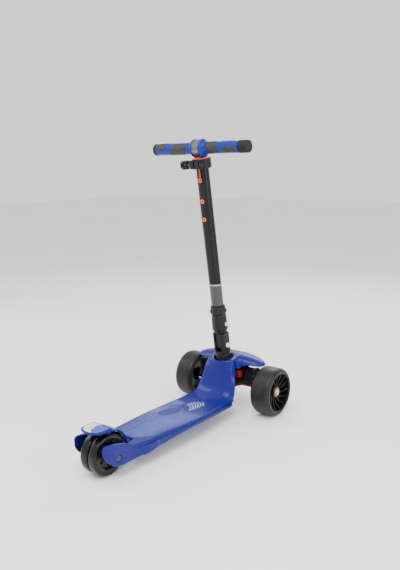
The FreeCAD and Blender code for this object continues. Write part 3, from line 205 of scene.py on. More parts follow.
blue_plastic = finish_material(
    "blue_plastic", BLUE, 0.28, specular=0.17, coat=0.04, wear=BLUE_PALE, wear_share=0.10, mottle=0.07,
    rough_spread=0.05, grain=0.00002, grain_scale=900.0,
)
blue_ridges = finish_material(
    "blue_ridges", (0.085, 0.13, 0.42), 0.42, wear=(0.25, 0.30, 0.58), wear_share=0.5, mottle=0.25,
    grain_scale=700.0,
)
blue_bars = finish_material("blue_bars", (0.24, 0.30, 0.56), 0.45, mottle=0.25, grain_scale=700.0)
blue_grip = finish_material(
    "blue_grip", (0.0060, 0.016, 0.24), 0.36, specular=0.20, wear=BLUE_PALE, wear_share=0.3, mottle=0.08,
    grain=0.00006, grain_scale=1100.0,
)
black_casting = finish_material(
    "black_casting", (0.0075, 0.0075, 0.008), 0.42, specular=0.22, wear=(0.04, 0.04, 0.04), wear_share=0.35,
    mottle=0.25, grain=0.00012, grain_scale=700.0,
)
black_plastic = finish_material(
    "black_plastic", (0.0085, 0.0085, 0.009), 0.36, specular=0.22, wear=(0.04, 0.04, 0.042), wear_share=0.4,
    mottle=0.15, grain=0.00008, grain_scale=1300.0,
)
black_tube = finish_material(
    "black_tube", (0.0065, 0.007, 0.0078), 0.30, specular=0.17, wear=(0.05, 0.05, 0.05), wear_share=0.3,
    mottle=0.12, grain=0.00005, grain_scale=1700.0, rough_spread=0.05,
)
dark_steel = finish_material(
    "dark_steel", (0.045, 0.045, 0.047), 0.33, metallic=0.9, wear=(0.25, 0.25, 0.25), mottle=0.2,
    grain=0.00003,
)
black_rubber = finish_material(
    "black_rubber", (0.010, 0.010, 0.010), 0.58, specular=0.22, wear=(0.03, 0.03, 0.03), mottle=0.25,
    grain=0.0001,
)
red_paint = finish_material(
    "red_paint", (0.26, 0.010, 0.006), 0.34, wear=(0.22, 0.12, 0.10), wear_share=0.3, coat=0.2, mottle=0.12,
)
red_elastomer = finish_material("red_elastomer", (0.19, 0.007, 0.005), 0.5, mottle=0.15, grain=0.00008)
zinc_steel = finish_material(
    "zinc_steel", (0.55, 0.55, 0.54), 0.30, metallic=1.0, mottle=0.1, wear=(0.8, 0.8, 0.8), rough_spread=0.12,
    stretch=(1, 8, 1), grain=0.00003,
)
# Steel kept darker than the plated steel the bar joint is, as painted shade for the narrow gap between the two
# hand stops where it sits.
shade_darkened_steel = finish_material(
    "shade_darkened_steel", (0.16, 0.16, 0.165), 0.34, metallic=0.9, mottle=0.15, wear=(0.4, 0.4, 0.4), grain=0.00003,
)
chrome_steel = finish_material(
    "chrome_steel", (0.72, 0.72, 0.72), 0.12, metallic=1.0, mottle=0.05, rough_spread=0.06,
    stretch=(12, 1, 1), grain=0.00001,
)
bronze = finish_material("bronze", (0.45, 0.30, 0.12), 0.35, metallic=1.0)
orange_plastic = finish_material(
    "orange_plastic", (0.72, 0.075, 0.016), 0.38, wear=(0.8, 0.2, 0.08), mottle=0.08, grain_scale=900.0,
)

def tyre_material():
    """Matt polyurethane: dusty clouds, scuffs round the tread, small pale specks."""
    material, tree, shader, where = new_material("front_tyre")
    clouds = spread(tree, noise(tree, where, 28.0, 6.0), 0.35, 0.70)
    paint = mix(tree, clouds, (0.0070, 0.0074, 0.0078), (0.0135, 0.0142, 0.0148))
    specks = spread(tree, noise(tree, where, 420.0, 2.0), 0.70, 0.76, 0.0, 0.35)
    paint = mix(tree, specks, paint, (0.09, 0.09, 0.085))
    set_input(shader, "Specular IOR Level", 0.24)
    tree.links.new(paint, shader.inputs["Base Color"])
    vary_roughness(tree, shader, where, 55.0, 6.0, 0.36, 0.50)
    bump(tree, shader, noise(tree, where, 900.0, 3.0), 0.5, 0.00008)
    bump(tree, shader, noise(tree, where, 90.0, 3.0), 0.2, 0.0001)
    return material


def label_material():
    """Dark grey film with a pale stripe near its top; nothing is printed on it."""
    material, tree, shader, where = new_material("grey_label")
    axes = tree.nodes.new("ShaderNodeSeparateXYZ")
    tree.links.new(where, axes.inputs["Vector"])
    low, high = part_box("stem_label")
    height = axes.outputs["Z"]
    stripe = tree.nodes.new("ShaderNodeValToRGB")
    stripe.color_ramp.interpolation = "CONSTANT"
    stops = ((0.0, 0.012), (0.04, 0.030), (0.90, 0.45), (0.955, 0.020))
    for index, (place, grey) in enumerate(stops):
        element = stripe.color_ramp.elements[index] if index < 2 else stripe.color_ramp.elements.new(place)
        element.position = place
        element.color = (grey, grey, grey * 1.03, 1)
    tree.links.new(spread(tree, height, low.z, high.z), stripe.inputs["Fac"])
    clouds = spread(tree, noise(tree, where, 120.0, 5.0), 0.4, 0.65, 0.0, 0.5)
    paint = mix(tree, clouds, stripe.outputs["Color"], (0.055, 0.055, 0.058))
    tree.links.new(paint, shader.inputs["Base Color"])
    vary_roughness(tree, shader, where, 60.0, 5.0, 0.32, 0.5)
    bump(tree, shader, noise(tree, where, 500.0, 2.0), 0.3, 0.00003)
    return material


def pad_material():
    """Soft rubber with a fine pattern of raised dots."""
    material, tree, shader, where = new_material("grip_pad")
    clouds = spread(tree, noise(tree, where, 60.0, 5.0), 0.3, 0.7)
    paint = mix(tree, clouds, (0.006, 0.006, 0.0065), (0.013, 0.013, 0.0135))
    tree.links.new(paint, shader.inputs["Base Color"])
    dots = tree.nodes.new("ShaderNodeTexVoronoi")
    set_input(dots, "Scale", 620.0)
    set_input(dots, "Randomness", 0.15)
    tree.links.new(where, dots.inputs["Vector"])
    bump(tree, shader, spread(tree, dots.outputs["Distance"], 0.15, 0.5, 1.0, 0.0), 0.7, 0.00025)
    vary_roughness(tree, shader, where, 150.0, 4.0, 0.5, 0.68)
    return material


front_tyre_rubber = tyre_material()
grey_label = label_material()
grip_rubber = pad_material()
rear_rubber = finish_material(
    "rear_rubber", (0.0045, 0.0045, 0.005), 0.22, specular=0.26, wear=(0.05, 0.05, 0.05), mottle=0.25,
    grain=0.00003, rough_spread=0.07,
)


def tread_material():
    """Silver film on the brake pedal with a blue crescent printed on it."""
    material, tree, shader, where = new_material("tread_film")
    axes = tree.nodes.new("ShaderNodeSeparateXYZ")
    tree.links.new(where, axes.inputs["Vector"])
    flat = tree.nodes.new("ShaderNodeCombineXYZ")
    tree.links.new(axes.outputs["X"], flat.inputs["X"])
    tree.links.new(axes.outputs["Y"], flat.inputs["Y"])

    def disc(x, y, radius):
        away = tree.nodes.new("ShaderNodeVectorMath")
        away.operation = "DISTANCE"
        away.inputs[1].default_value = (x, y, 0)
        tree.links.new(flat.outputs["Vector"], away.inputs[0])
        return spread(tree, away.outputs["Value"], radius - 0.0003, radius + 0.0003, 1.0, 0.0)

    axle = REAR_AXLE_Y
    crescent = tree.nodes.new("ShaderNodeMath")
    crescent.operation = "MULTIPLY"
    tree.links.new(disc(0.026, axle - 0.012, 0.030), crescent.inputs[0])
    outside = tree.nodes.new("ShaderNodeMath")
    outside.operation = "SUBTRACT"
    outside.inputs[0].default_value = 1.0
    tree.links.new(disc(-0.012, axle + 0.020, 0.026), outside.inputs[1])
    tree.links.new(outside.outputs[0], crescent.inputs[1])
    clouds = spread(tree, noise(tree, where, 45.0, 5.0), 0.3, 0.7)
    silver = mix(tree, clouds, (0.55, 0.56, 0.57), (0.76, 0.77, 0.76))
    paint = mix(tree, crescent.outputs[0], silver, (0.035, 0.075, 0.48))
    tree.links.new(paint, shader.inputs["Base Color"])
    set_input(shader, "Metallic", 0.25)
    vary_roughness(tree, shader, where, 90.0, 5.0, 0.28, 0.46)
    bump(tree, shader, noise(tree, where, 300.0, 3.0), 0.4, 0.00006)
    return material


REAR_AXLE_Y = REAR_AXLE.y * MM
tread_film = tread_material()

# ---- meshes --------------------------------------------------------------------------------


def make_piece(name, points, faces, place, material, body, replaced=(), smooth=True):
    """A mesh object from points in millimetres, riding on a body."""
    mesh = bpy.data.meshes.new(name)
    points = np.asarray(points, float)
    turned = points @ np.array(place.to_3x3()).T + np.array(place.translation)
    mesh.from_pydata(turned.tolist(), [], [tuple(face) for face in faces])
    mesh.validate()
    mesh.polygons.foreach_set("use_smooth", [smooth] * len(mesh.polygons))
    mesh.materials.append(material)
    piece = bpy.data.objects.new(name, mesh)
    bpy.context.scene.collection.objects.link(piece)
    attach(piece, body)
    if replaced:
        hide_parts(*replaced)
    return piece


def apply_modifiers(piece):
    """Makes the piece's modifiers part of its mesh."""
    bpy.context.view_layer.update()
    graph = bpy.context.evaluated_depsgraph_get()
    mesh = bpy.data.meshes.new_from_object(piece.evaluated_get(graph))
    piece.modifiers.clear()
    piece.data = mesh


def lathe(profile, steps=96, closed=True):
    """Points and faces of a profile of (along, radius) turned about the first axis."""
    rings = len(profile)
    angles = np.arange(steps) * 2 * math.pi / steps
    points = []
    for along, radius in profile:
        for angle in angles:
            points.append((along, radius * math.cos(angle), radius * math.sin(angle)))
    faces = []
    for ring in range(rings if closed else rings - 1):
        after = (ring + 1) % rings
        for step in range(steps):
            beside = (step + 1) % steps
            here, there = ring * steps, after * steps
            faces.append((here + step, here + beside, there + beside, there + step))
    return points, faces


UPRIGHT = Matrix.Rotation(-math.pi / 2, 4, "Y")


def arc(centre_along, centre_radius, radius, start, stop, count=6):
    """Points of a round corner in a profile, angles in degrees from the along direction."""
    return [
        (centre_along + radius * math.cos(angle), centre_radius + radius * math.sin(angle))
        for angle in map(math.radians, np.linspace(start, stop, count))
    ]


def smooth_min(first, second, reach):
    share = np.clip(0.5 + 0.5 * (second - first) / reach, 0, 1)
    return second + (first - second) * share - reach * share * (1 - share)


def smooth_max(first, second, reach):
    return -smooth_min(-first, -second, reach)


def rounded_rectangle(a, b, half_a, half_b, radius):
    """Distance to a rounded rectangle about the origin of its plane."""
    over_a = np.abs(a) - half_a + radius
    over_b = np.abs(b) - half_b + radius
    outside = np.hypot(np.maximum(over_a, 0), np.maximum(over_b, 0))
    return outside + np.minimum(np.maximum(over_a, over_b), 0) - radius


def block(x, y, z, low, high, radius=1.0):
    """Distance to a rounded block between two corners."""
    over = [
        np.abs(value - (a + b) / 2) - (b - a) / 2 + radius
        for value, a, b in zip((x, y, z), low, high)
    ]
    outside = np.sqrt(sum(np.maximum(one, 0) ** 2 for one in over))
    return outside + np.minimum(np.maximum(np.maximum(over[0], over[1]), over[2]), 0) - radius


def rod(a, b, along, radius, start, stop, round_off=0.8):
    """Distance to a cylinder with rounded rims."""
    over = np.hypot(a, b) - radius + round_off
    past = np.abs(along - (start + stop) / 2) - (stop - start) / 2 + round_off
    outside = np.hypot(np.maximum(over, 0), np.maximum(past, 0))
    return np.minimum(np.maximum(over, past), 0) + outside - round_off


def smooth_table(points, window):
    """A soft curve through a short table: the straight-line curve, averaged over a window."""
    at, value = np.array(points, float).T
    step = window / 40
    fine = np.arange(at[0] - window, at[-1] + window + step, step)
    kernel = np.hanning(43)[1:-1]
    straight = np.interp(fine, at, value)
    padded = np.concatenate([np.full(20, straight[0]), straight, np.full(20, straight[-1])])
    averaged = np.convolve(padded, kernel / kernel.sum(), "valid")
    return lambda where: np.interp(where, fine, averaged)


def surface(field, low, high, step):
    """Points and faces where the field is zero: one point in each grid cell that it crosses."""
    axes = [np.arange(a, b + step, step, dtype=np.float32) for a, b in zip(low, high)]
    x, y, z = np.meshgrid(*axes, indexing="ij")
    value = field(x, y, z).astype(np.float32)
    for axis in range(3):
        edge = [slice(None)] * 3
        for end in (0, -1):
            edge[axis] = end
            value[tuple(edge)] = np.maximum(value[tuple(edge)], step)
    cells = np.array(value.shape) - 1
    sums = np.zeros((int(cells.prod()), 3))
    hits = np.zeros(int(cells.prod()))
    quads = []
    for axis in range(3):
        first = [slice(None)] * 3
        second = [slice(None)] * 3
        first[axis] = slice(None, -1)
        second[axis] = slice(1, None)
        start = value[tuple(first)]
        stop = value[tuple(second)]
        crossed = (start < 0) != (stop < 0)
        spots = np.argwhere(crossed)
        begin = start[crossed]
        points = spots.astype(float)
        points[:, axis] += begin / (begin - stop[crossed])
        beside = [other for other in range(3) if other != axis]
        corners = []
        for back_a, back_b in ((0, 0), (1, 0), (1, 1), (0, 1)):
            cell = spots.copy()
            cell[:, beside[0]] -= back_a
            cell[:, beside[1]] -= back_b
            number = np.ravel_multi_index(cell.T, cells)
            for part in range(3):
                sums[:, part] += np.bincount(number, points[:, part], len(sums))
            hits += np.bincount(number, minlength=len(hits))
            corners.append(number)
        faces = np.stack(corners, axis=1)
        turned = (begin < 0) == (axis == 1)
        faces[turned] = faces[turned][:, ::-1]
        quads.append(faces)
    quads = np.concatenate(quads)
    used, renamed = np.unique(quads, return_inverse=True)
    points = sums[used] / hits[used][:, None] * step + np.array(low)
    return points, renamed.reshape(quads.shape)


def grid_step(full):
    return full


def moulded(name, field, low, high, step, place, material, body, replaced=(), relax=2):
    """A piece with blended edges, from a field in its own millimetre frame."""
    points, faces = surface(field, low, high, step)
    piece = make_piece(name, points, faces.tolist(), place, material, body, replaced)
    if relax:
        smooth = piece.modifiers.new("relax", "SMOOTH")
        smooth.factor = 0.5
        smooth.iterations = relax
        apply_modifiers(piece)
    return piece


def turned(name, profile, place, material, body, slot, replaced=(), steps=96, closed=True, shape=None):
    """A turned piece: profile of (along, radius); shape(angle, along, radius) may change the radius."""
    points, faces = lathe(profile, steps, closed)
    points = np.array(points)
    if shape:
        radius = np.hypot(points[:, 1], points[:, 2])
        angle = np.arctan2(points[:, 2], points[:, 1])
        scale = shape(angle, points[:, 0], radius) / np.maximum(radius, 1e-6)
        points[:, 1:] *= scale[:, None]
    piece = make_piece(name, points, faces, place, material, body, replaced)
    sharpen(piece)
    return piece


def sharpen(piece, angle=38.0):
    """Keeps edges steeper than the angle crisp and weights the shading by face size."""
    piece.data.set_sharp_from_angle(angle=math.radians(angle))
    weighted = piece.modifiers.new("weighted", "WEIGHTED_NORMAL")
    weighted.keep_sharp = True
    apply_modifiers(piece)


def rounded_copy(node, material, width=0.35, angle=28.0):
    """The CAD node's own shape with softened edges, standing for the node."""
    work = bmesh.new()
    work.from_mesh(frame["nodes"][node].data)
    bmesh.ops.remove_doubles(work, verts=work.verts, dist=0.000004)
    bmesh.ops.dissolve_limit(work, angle_limit=math.radians(0.5), verts=work.verts, edges=work.edges)
    steep = math.radians(angle)
    edges = [edge for edge in work.edges if len(edge.link_faces) == 2 and edge.calc_face_angle(0) > steep]
    bmesh.ops.bevel(
        work, geom=edges, offset=width * MM, offset_type="OFFSET", segments=2, profile=0.5, affect="EDGES",
        clamp_overlap=True,
    )
    bmesh.ops.triangulate(work, faces=[face for face in work.faces if len(face.verts) > 4])
    mesh = bpy.data.meshes.new(node + "_look")
    work.to_mesh(mesh)
    work.free()
    mesh.polygons.foreach_set("use_smooth", [True] * len(mesh.polygons))
    mesh.materials.clear()
    mesh.materials.append(material)
    piece = bpy.data.objects.new(node + "_look", mesh)
    bpy.context.scene.collection.objects.link(piece)
    sharpen(piece)
    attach(piece, BODY_OF[node])
    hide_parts(node)
    return piece


BODY_OF = {node: body for body, nodes in frame["record"]["behaviour"]["bodies"].items() for node in nodes}

# ---- deck and front housing ----------------------------------------------------------------

deck_half = smooth_table((
    (-240, 46.5), (-205, 47.4), (-185, 50.5), (-158.5, 55.4), (-118.5, 56.6), (-78.5, 60.0), (-38.5, 62.6),
    (1.5, 63.8), (41.5, 64), (81.5, 61.5), (115, 60.2), (150, 60.0),
), 40)
deck_high = smooth_table((
    (-240, 55.5), (-205, 55.3), (-158.5, 54.8), (-118.5, 54.2), (-78.5, 53.2), (-38.5, 51.6), (1.5, 50.0),
    (41.5, 48.9), (81.5, 48.4), (150, 49.5),
), 40)
deck_low = smooth_table((
    (-240, 26), (-205, 26), (-158.5, 27), (-118.5, 29), (-78.5, 32), (-38.5, 33.8), (1.5, 34.0), (41.5, 33),
    (81.5, 30), (115, 29.2), (150, 29.5),
), 40)
seam = smooth_table(((-290, 47.6), (-158.5, 47.2), (-78.5, 45.8), (1.5, 43.6), (81.5, 42.2), (150, 42.0)), 40)
rear_face = smooth_table((
    (40, 128), (50, 134.5), (64, 141), (85, 149), (106, 155), (126, 159), (150, 161.5),
), 14)
rear_bulge = smooth_table((
    (40, 0.0011), (64, 0.0014), (85, 0.0020), (112, 0.0032), (134, 0.0085), (150, 0.009),
), 14)
crest = smooth_table(((150, 150), (204, 147), (222, 144.4), (240, 141.5), (258, 134)), 16)
crease_half = smooth_table(((40, 50), (50, 48.6), (64, 46), (83, 44), (112, 41), (134, 38.2), (150, 36)), 14)
side_flare = smooth_table(((40, 1.35), (62, 1.25), (76, 1.0), (90, 0.55), (104, 0.25), (134, -0.05)), 16)
nose_half = smooth_table(((130, 61), (148, 60), (160, 55), (172, 46), (190, 36), (205, 30), (258, 27)), 16)
wing_high = smooth_table(((0, 144), (27, 143.8), (58, 139.6), (82, 134.2), (99, 127), (110, 120)), 16)
wing_rear = smooth_table(((0, 190), (50, 194), (85, 200.5), (99, 208), (110, 216)), 14)
wing_front = smooth_table(((0, 258), (50, 255), (85, 248), (99, 239), (110, 231)), 14)
skirt = smooth_table((
    (0, 64), (26, 66), (29, 84), (35, 103), (50, 116), (65, 122), (86, 120.5), (110, 119),
), 7)
window_rear = smooth_table((
    (40, 143.5), (50, 147.5), (62, 156), (83, 166), (103, 178), (112, 188), (150, 196),
), 12)
SHELL_WALL = 3.6
STEM_OPENING = 24.8
# Clearance round the rear wheels, in the upper and the lower shell, and half its width.
UPPER_WELL, LOWER_WELL, WELL_HALF = 56.5, 50.5, 24.8


def housing_solid(x, y, z):
    """Negative inside the outer skin of deck, hump and wings, as if it were solid."""
    wide = np.abs(x)
    half = deck_half(y)
    high, low = deck_high(y) - 0.5 * (wide / 62) ** 4, deck_low(y)
    deck = rounded_rectangle(x, z - (high + low) / 2, half - 0.9, (high - low) / 2, 5.5)
    deck = smooth_max(deck, y - 141.5, 5)
    rear = rear_face(z) + rear_bulge(z) * x * x
    flare = crease_half(z) + side_flare(z) * np.clip(y - rear, 0, 40)
    sides = wide - np.minimum(flare, np.minimum(nose_half(y), 59.0))
    pillar = smooth_max((rear - y) * 0.86, sides * 0.80, 3.2)
    pillar = smooth_max(pillar, y - 256, 12)
    pillar = np.maximum(pillar, 30 - z)
    height = wing_high(wide)
    centre = (wing_rear(wide) + wing_front(wide)) / 2
    depth = (wing_front(wide) - wing_rear(wide)) / 2
    drop = 10.5 * np.abs((y - centre) / depth) ** 2.6
    wing = smooth_max(smooth_max(z - height + drop, wing_rear(wide) - y, 9), y - wing_front(wide), 9)
    wing = smooth_max(wing, wide - 100, 8)
    wing = np.maximum(wing, 60 - z)
    reach = np.interp(wide, (0, 34, 56), (30, 24, 9))
    solid = smooth_min(deck, pillar, reach)
    solid = smooth_min(solid, wing, 13)
    stem_s = (BASE_Y - y) * LEAN_SIN + (z - BASE_Z) * LEAN_COS
    return smooth_max(smooth_max(solid, z - crest(y), 4), stem_s - 3.0, 3.5)


def stem_radius(x, y, z):
    """Distance from the stem's axis."""
    along = (y - BASE_Y) * LEAN_COS + (z - BASE_Z) * LEAN_SIN
    return np.hypot(x, along)


def top_shell(x, y, z):
    """Negative inside the upper shell: the housing hollowed out, with its openings."""
    solid = housing_solid(x, y, z)
    wide = np.abs(x)
    hollow = np.maximum(solid + SHELL_WALL, 128 - y)
    shell = smooth_max(solid, -hollow, 1.0)
    from_stem = stem_radius(x, y, z)
    collar = np.maximum(np.maximum(np.abs(from_stem - 26.4) - 1.7, 119 - z), solid)
    shell = np.minimum(shell, collar)
    opening = np.minimum(STEM_OPENING - from_stem, z - 95)
    shell = smooth_max(shell, opening, 2.0)
    side_window = np.maximum(window_rear(z) - y, z - skirt(wide))
    side_window = np.maximum(side_window, np.where(wide > 26, -50.0, z - 63))
    shell = smooth_max(shell, -side_window, 1.2)
    beam_window = np.maximum(np.maximum(176 - y, y - 240), np.maximum(22 - wide, z - 111))
    shell = smooth_max(shell, -beam_window, 1.5)
    foot = np.maximum(z - 66, 157 - y)
    shell = np.maximum(shell, -foot)
    to_axle = np.hypot(y - REAR_AXLE.y, z - REAR_AXLE.z)
    well = np.where(wide < WELL_HALF, UPPER_WELL - to_axle, -(wide - WELL_HALF) * 0.9)
    shell = smooth_max(shell, np.where(y < -170, well, -50.0), 1.5)
    notch = np.maximum(np.maximum(-200 - y, y + 172), wide - 23)
    shell = np.maximum(shell, -np.maximum(notch, z - 60))
    shell = smooth_max(shell, -204 - y + 0.35 * np.maximum(0, 44 - wide), 2.0)
    return smooth_max(shell, seam(y) - z, 0.9)


EAR = (
    # forward of the axle, height
    (-39.5, 82), (-39.5, 61), (-33, 49.5), (-20, 37), (-6, 28.0), (11, 25.0), (43, 25.0), (76, 29.0),
    (104, 34), (104, 47.4), (62, 47.4), (49, 50.5), (33, 61), (14, 72), (-13, 79),
)


def round_outline(corners, times=2):
    """Cuts the corners of a closed outline again and again, into a soft curve."""
    outline = np.array(corners, float)
    for _ in range(times):
        after = np.roll(outline, -1, axis=0)
        pairs = [outline * 0.78 + after * 0.22, outline * 0.22 + after * 0.78]
        outline = np.stack(pairs, axis=1).reshape(-1, 2)
    return outline


def outline_distance(a, b, outline):
    """Distance to a closed outline in its plane, negative inside."""
    best = np.full(a.shape, 1e9)
    inside = np.zeros(a.shape, bool)
    after = np.roll(outline, -1, axis=0)
    for (a0, b0), (a1, b1) in zip(outline, after):
        along_a, along_b = a1 - a0, b1 - b0
        share = np.clip(((a - a0) * along_a + (b - b0) * along_b) / (along_a ** 2 + along_b ** 2), 0, 1)
        best = np.minimum(best, (a - a0 - share * along_a) ** 2 + (b - b0 - share * along_b) ** 2)
        crosses = (b0 > b) != (b1 > b)
        if along_b:
            inside ^= crosses & (a < a0 + (b - b0) * along_a / along_b)
    best = np.sqrt(best)
    return np.where(inside, -best, best)


ear_inner = smooth_table(((-290, 39), (-226, 39), (-202, 32), (-186, 25), (-60, 25)), 16)
ear_outer = smooth_table((
    (-290, 39.5), (-279, 41.5), (-268, 45.4), (-252, 47.7), (-230, 47.8), (-200, 47.8), (-182, 50.6),
    (-158.5, 55.0), (-118.5, 56.2), (-60, 60),
), 24)
ear_outline = round_outline(EAR)


def bottom_shell(x, y, z):
    """Negative inside the lower shell, its two ears and their bosses for the rear axle."""
    wide = np.abs(x)
    half = deck_half(y)
    high, low = deck_high(y), deck_low(y)
    edge = np.interp(y, (-190, -60), (3.4, 5.5))
    body = rounded_rectangle(x, z - (high + low) / 2, half - 0.2, (high - low) / 2, edge)
    body = smooth_max(body, y - 142, 5)
    panel = rounded_rectangle(x, y + 25, 40, 92, 14)
    body = smooth_max(body, -np.maximum(panel, z - low - 1.6), 1.5)
    body = smooth_max(body, -172 - y, 14)
    slab = outline_distance(y[0] - REAR_AXLE.y, z[0], ear_outline)[None]
    across = np.maximum((wide - ear_outer(y)) * 0.93, ear_inner(y) - wide)
    ears = smooth_max(slab + np.zeros(x.shape), across, 3.2)
    to_axle = np.hypot(y - REAR_AXLE.y, z - REAR_AXLE.z)
    inside = np.maximum(slab + 3.4, wide - ear_outer(y) + SHELL_WALL)
    inside = np.maximum(inside, y + 184)
    ears = smooth_max(ears, -inside, 1.0)
    ears = smooth_min(ears, np.maximum(np.maximum(to_axle - 11, 25.2 - wide), wide - 44), 1.5)
    shell = smooth_min(body, ears, 9)
    well = np.maximum(to_axle - LOWER_WELL, wide - 24.9)
    shell = smooth_max(shell, -well, 1.0)
    recess = np.maximum(to_axle - 6.6, 41.8 - wide)
    shell = smooth_max(shell, -recess, 1.2)
    bore = np.maximum(to_axle - 4.2, 24 - wide)
    shell = np.maximum(shell, -bore)
    hollow = np.maximum(rounded_rectangle(x, y - 175, 40, 50, 2), 20 - z)
    shell = smooth_max(shell, -np.maximum(hollow, z - 60), 1.0)
    top = np.where((wide > 24) & (y < -184), -50.0, z - seam(y) - 0.3)
    return smooth_max(shell, top, 0.5)


SHELL_STEP = grid_step(1.35)
deck_top = moulded(
    "deck_top", top_shell, (-104, -212, 38), (104, 262, 150), SHELL_STEP, DECK, blue_plastic,
    "deck", ("deck_top_shell",), relax=4,
)
moulded(
    "deck_bottom", bottom_shell, (-68, -284, 22), (68, 146, 84), SHELL_STEP, DECK, blue_plastic,
    "deck", ("deck_bottom_shell",), relax=4,
)

# ---- raised ripples on the deck ------------------------------------------------------------

OVAL_X, OVAL_Y = -17.0, -8.0
OVAL_LONG = Vector((0.20, 0.98)).normalized()
deck_tree = BVHTree.FromPolygons(
    [vertex.co[:] for vertex in deck_top.data.vertices],
    [face.vertices[:] for face in deck_top.data.polygons],
)


def oval_spot(long_radius, short_radius, angle):
    along, across = long_radius * math.cos(angle), short_radius * math.sin(angle)
    return (
        OVAL_X + OVAL_LONG.x * along + OVAL_LONG.y * across,
        OVAL_Y + OVAL_LONG.y * along - OVAL_LONG.x * across,
    )


def ribbon(line, width, height):
    """Points and faces of a low rounded bead that lies on the deck along a line of (x, y)."""
    line = np.array(line)
    ahead = np.gradient(line, axis=0)
    ahead /= np.linalg.norm(ahead, axis=1)[:, None]
    beside = np.stack([ahead[:, 1], -ahead[:, 0]], axis=1)
    section = (
        (-0.5, -0.35), (-0.42, 0.35), (-0.2, 0.85), (0.0, 1.0), (0.2, 0.85), (0.42, 0.35), (0.5, -0.35),
    )
    taper = np.sin(np.linspace(0, math.pi, len(line))) ** 0.35
    points, good = [], []
    for (x, y), (side_x, side_y), size in zip(line, beside, taper):
        for across, up in section:
            shift = across * width * size
            spot = Vector(((x + side_x * shift) * MM, (y + side_y * shift) * MM, 0.2))
            hit = deck_tree.ray_cast(spot, Vector((0, 0, -1)))[0]
            good.append(hit is not None)
            rise = hit.z / MM if hit else 0
            points.append((spot.x / MM, spot.y / MM, rise + up * height * size))
    count = len(section)
    faces = []
    for row in range(len(line) - 1):
        for column in range(count - 1):
            a = row * count + column
            quad = (a, a + 1, a + count + 1, a + count)
            if all(good[index] for index in quad):
                faces.append(quad)
    return points, faces


def ribbons(name, lines, width, height, material):
    points, faces = [], []
    for line in lines:
        if len(line) < 4:
            continue
        more, quads = ribbon(line, width, height)
        faces += [tuple(index + len(points) for index in quad) for quad in quads]
        points += more
    return make_piece(name, points, faces, DECK, material, "deck")


def kept_runs(line, keep):
    """The parts of a line where keep(x, y) holds, as separate lines."""
    runs, run = [], []
    for spot in line:
        if keep(*spot):
            run.append(spot)
        elif run:
            runs.append(run)
            run = []
    if run:
        runs.append(run)
    return runs


def on_standing_area(x, y):
    under_bars = x > -20 and y > 20
    return abs(x) < float(deck_half(y)) - 9 and -168 < y < 62 and not under_bars


ripple_lines = []
for ring in range(22):
    grow = ring * 6.6
    turns = np.linspace(0, 2 * math.pi, 150 + ring * 14)
    oval = [oval_spot(36 + grow, 21 + 0.66 * grow, angle) for angle in turns]
    if ring == 0:
        ripple_lines.append(oval)
    else:
        ripple_lines += kept_runs(oval, on_standing_area)
ribbons("deck_ripples", ripple_lines, 2.3, 0.42, blue_ridges)

DECK_BARS = (
    # long radius, short radius, first and last angle
    (58, 34, -0.25, 0.92), (66, 35, -0.32, 0.90), (74, 36, -0.36, 0.86), (82, 38, -0.28, 0.80),
    (90, 41, -0.12, 0.72), (98, 45, 0.08, 0.62),
)
bar_lines = []
for long_radius, short_radius, start, stop in DECK_BARS:
    bar_lines.append([oval_spot(long_radius, short_radius, angle) for angle in np.linspace(start, stop, 44)])
ribbons("deck_bars", bar_lines, 3.3, 0.55, blue_bars)

# ---- front wheels --------------------------------------------------------------------------

TYRE_HALF = (
    [(25.6, 48.6), (26.4, 48.9), (26.9, 49.7), (27.0, 50.8), (26.9, 52.0)]
    + arc(15.9, 48.9, 10.9, 18, 86, 10)
    + [(11.5, 59.85), (6.0, 59.97)]
)
FRONT_TYRE = TYRE_HALF + [(0.0, 60.0)] + [(-along, radius) for along, radius in reversed(TYRE_HALF)]
FRONT_HUB = [
    (-25.4, 49.0), (25.4, 49.0), (26.0, 48.4), (26.1, 47.4), (25.6, 46.6), (24.0, 46.2), (8.0, 45.8),
    (4.4, 45.0), (2.6, 43.2), (2.0, 40.0), (2.4, 22.0), (3.4, 17.4), (6.0, 14.8), (9.0, 14.0),
    (14.8, 14.0), (15.6, 13.3), (15.6, 11.0), (8.6, 11.0), (8.6, 8.0), (-12.0, 8.0), (-12.0, 11.0),
    (-19.0, 11.0), (-19.0, 13.4), (-18.4, 14.0), (-6.0, 14.4), (-3.6, 16.6), (-3.0, 20.0), (-3.0, 41.0),
    (-4.2, 44.2), (-8.0, 45.9), (-24.8, 46.2), (-25.6, 47.0),
]


def fan_blades(count):
    """Curved blades from the boss to the barrel, each a rounded bar open towards the web."""
    points, faces = [], []
    radii = np.linspace(13.2, 46.6, 15)
    crest = np.interp(radii, (13, 20, 30, 40, 47), (12.0, 12.8, 15.2, 18.6, 21.2))
    lean = 0.34 * ((radii - 13.2) / 33.4) ** 1.15
    thick = np.interp(radii, (13, 47), (1.15, 1.5))
    for blade in range(count):
        first = len(points)
        for radius, top, turn, half in zip(radii, crest, lean, thick):
            section = (
                (1.0, half * 1.5), (4.0, half * 1.2), (top - 1.2, half), (top - 0.35, half * 0.72),
                (top, 0.0), (top - 0.35, -half * 0.72), (top - 1.2, -half), (4.0, -half * 1.2),
                (1.0, -half * 1.5),
            )
            for along, side in section:
                angle = blade * 2 * math.pi / count + turn + side / radius
                points.append((along, radius * math.cos(angle), radius * math.sin(angle)))
        for row in range(len(radii) - 1):
            for column in range(8):
                a = first + row * 9 + column
                faces.append((a, a + 1, a + 10, a + 9))
    return points, faces


BLADE_COUNT = 15


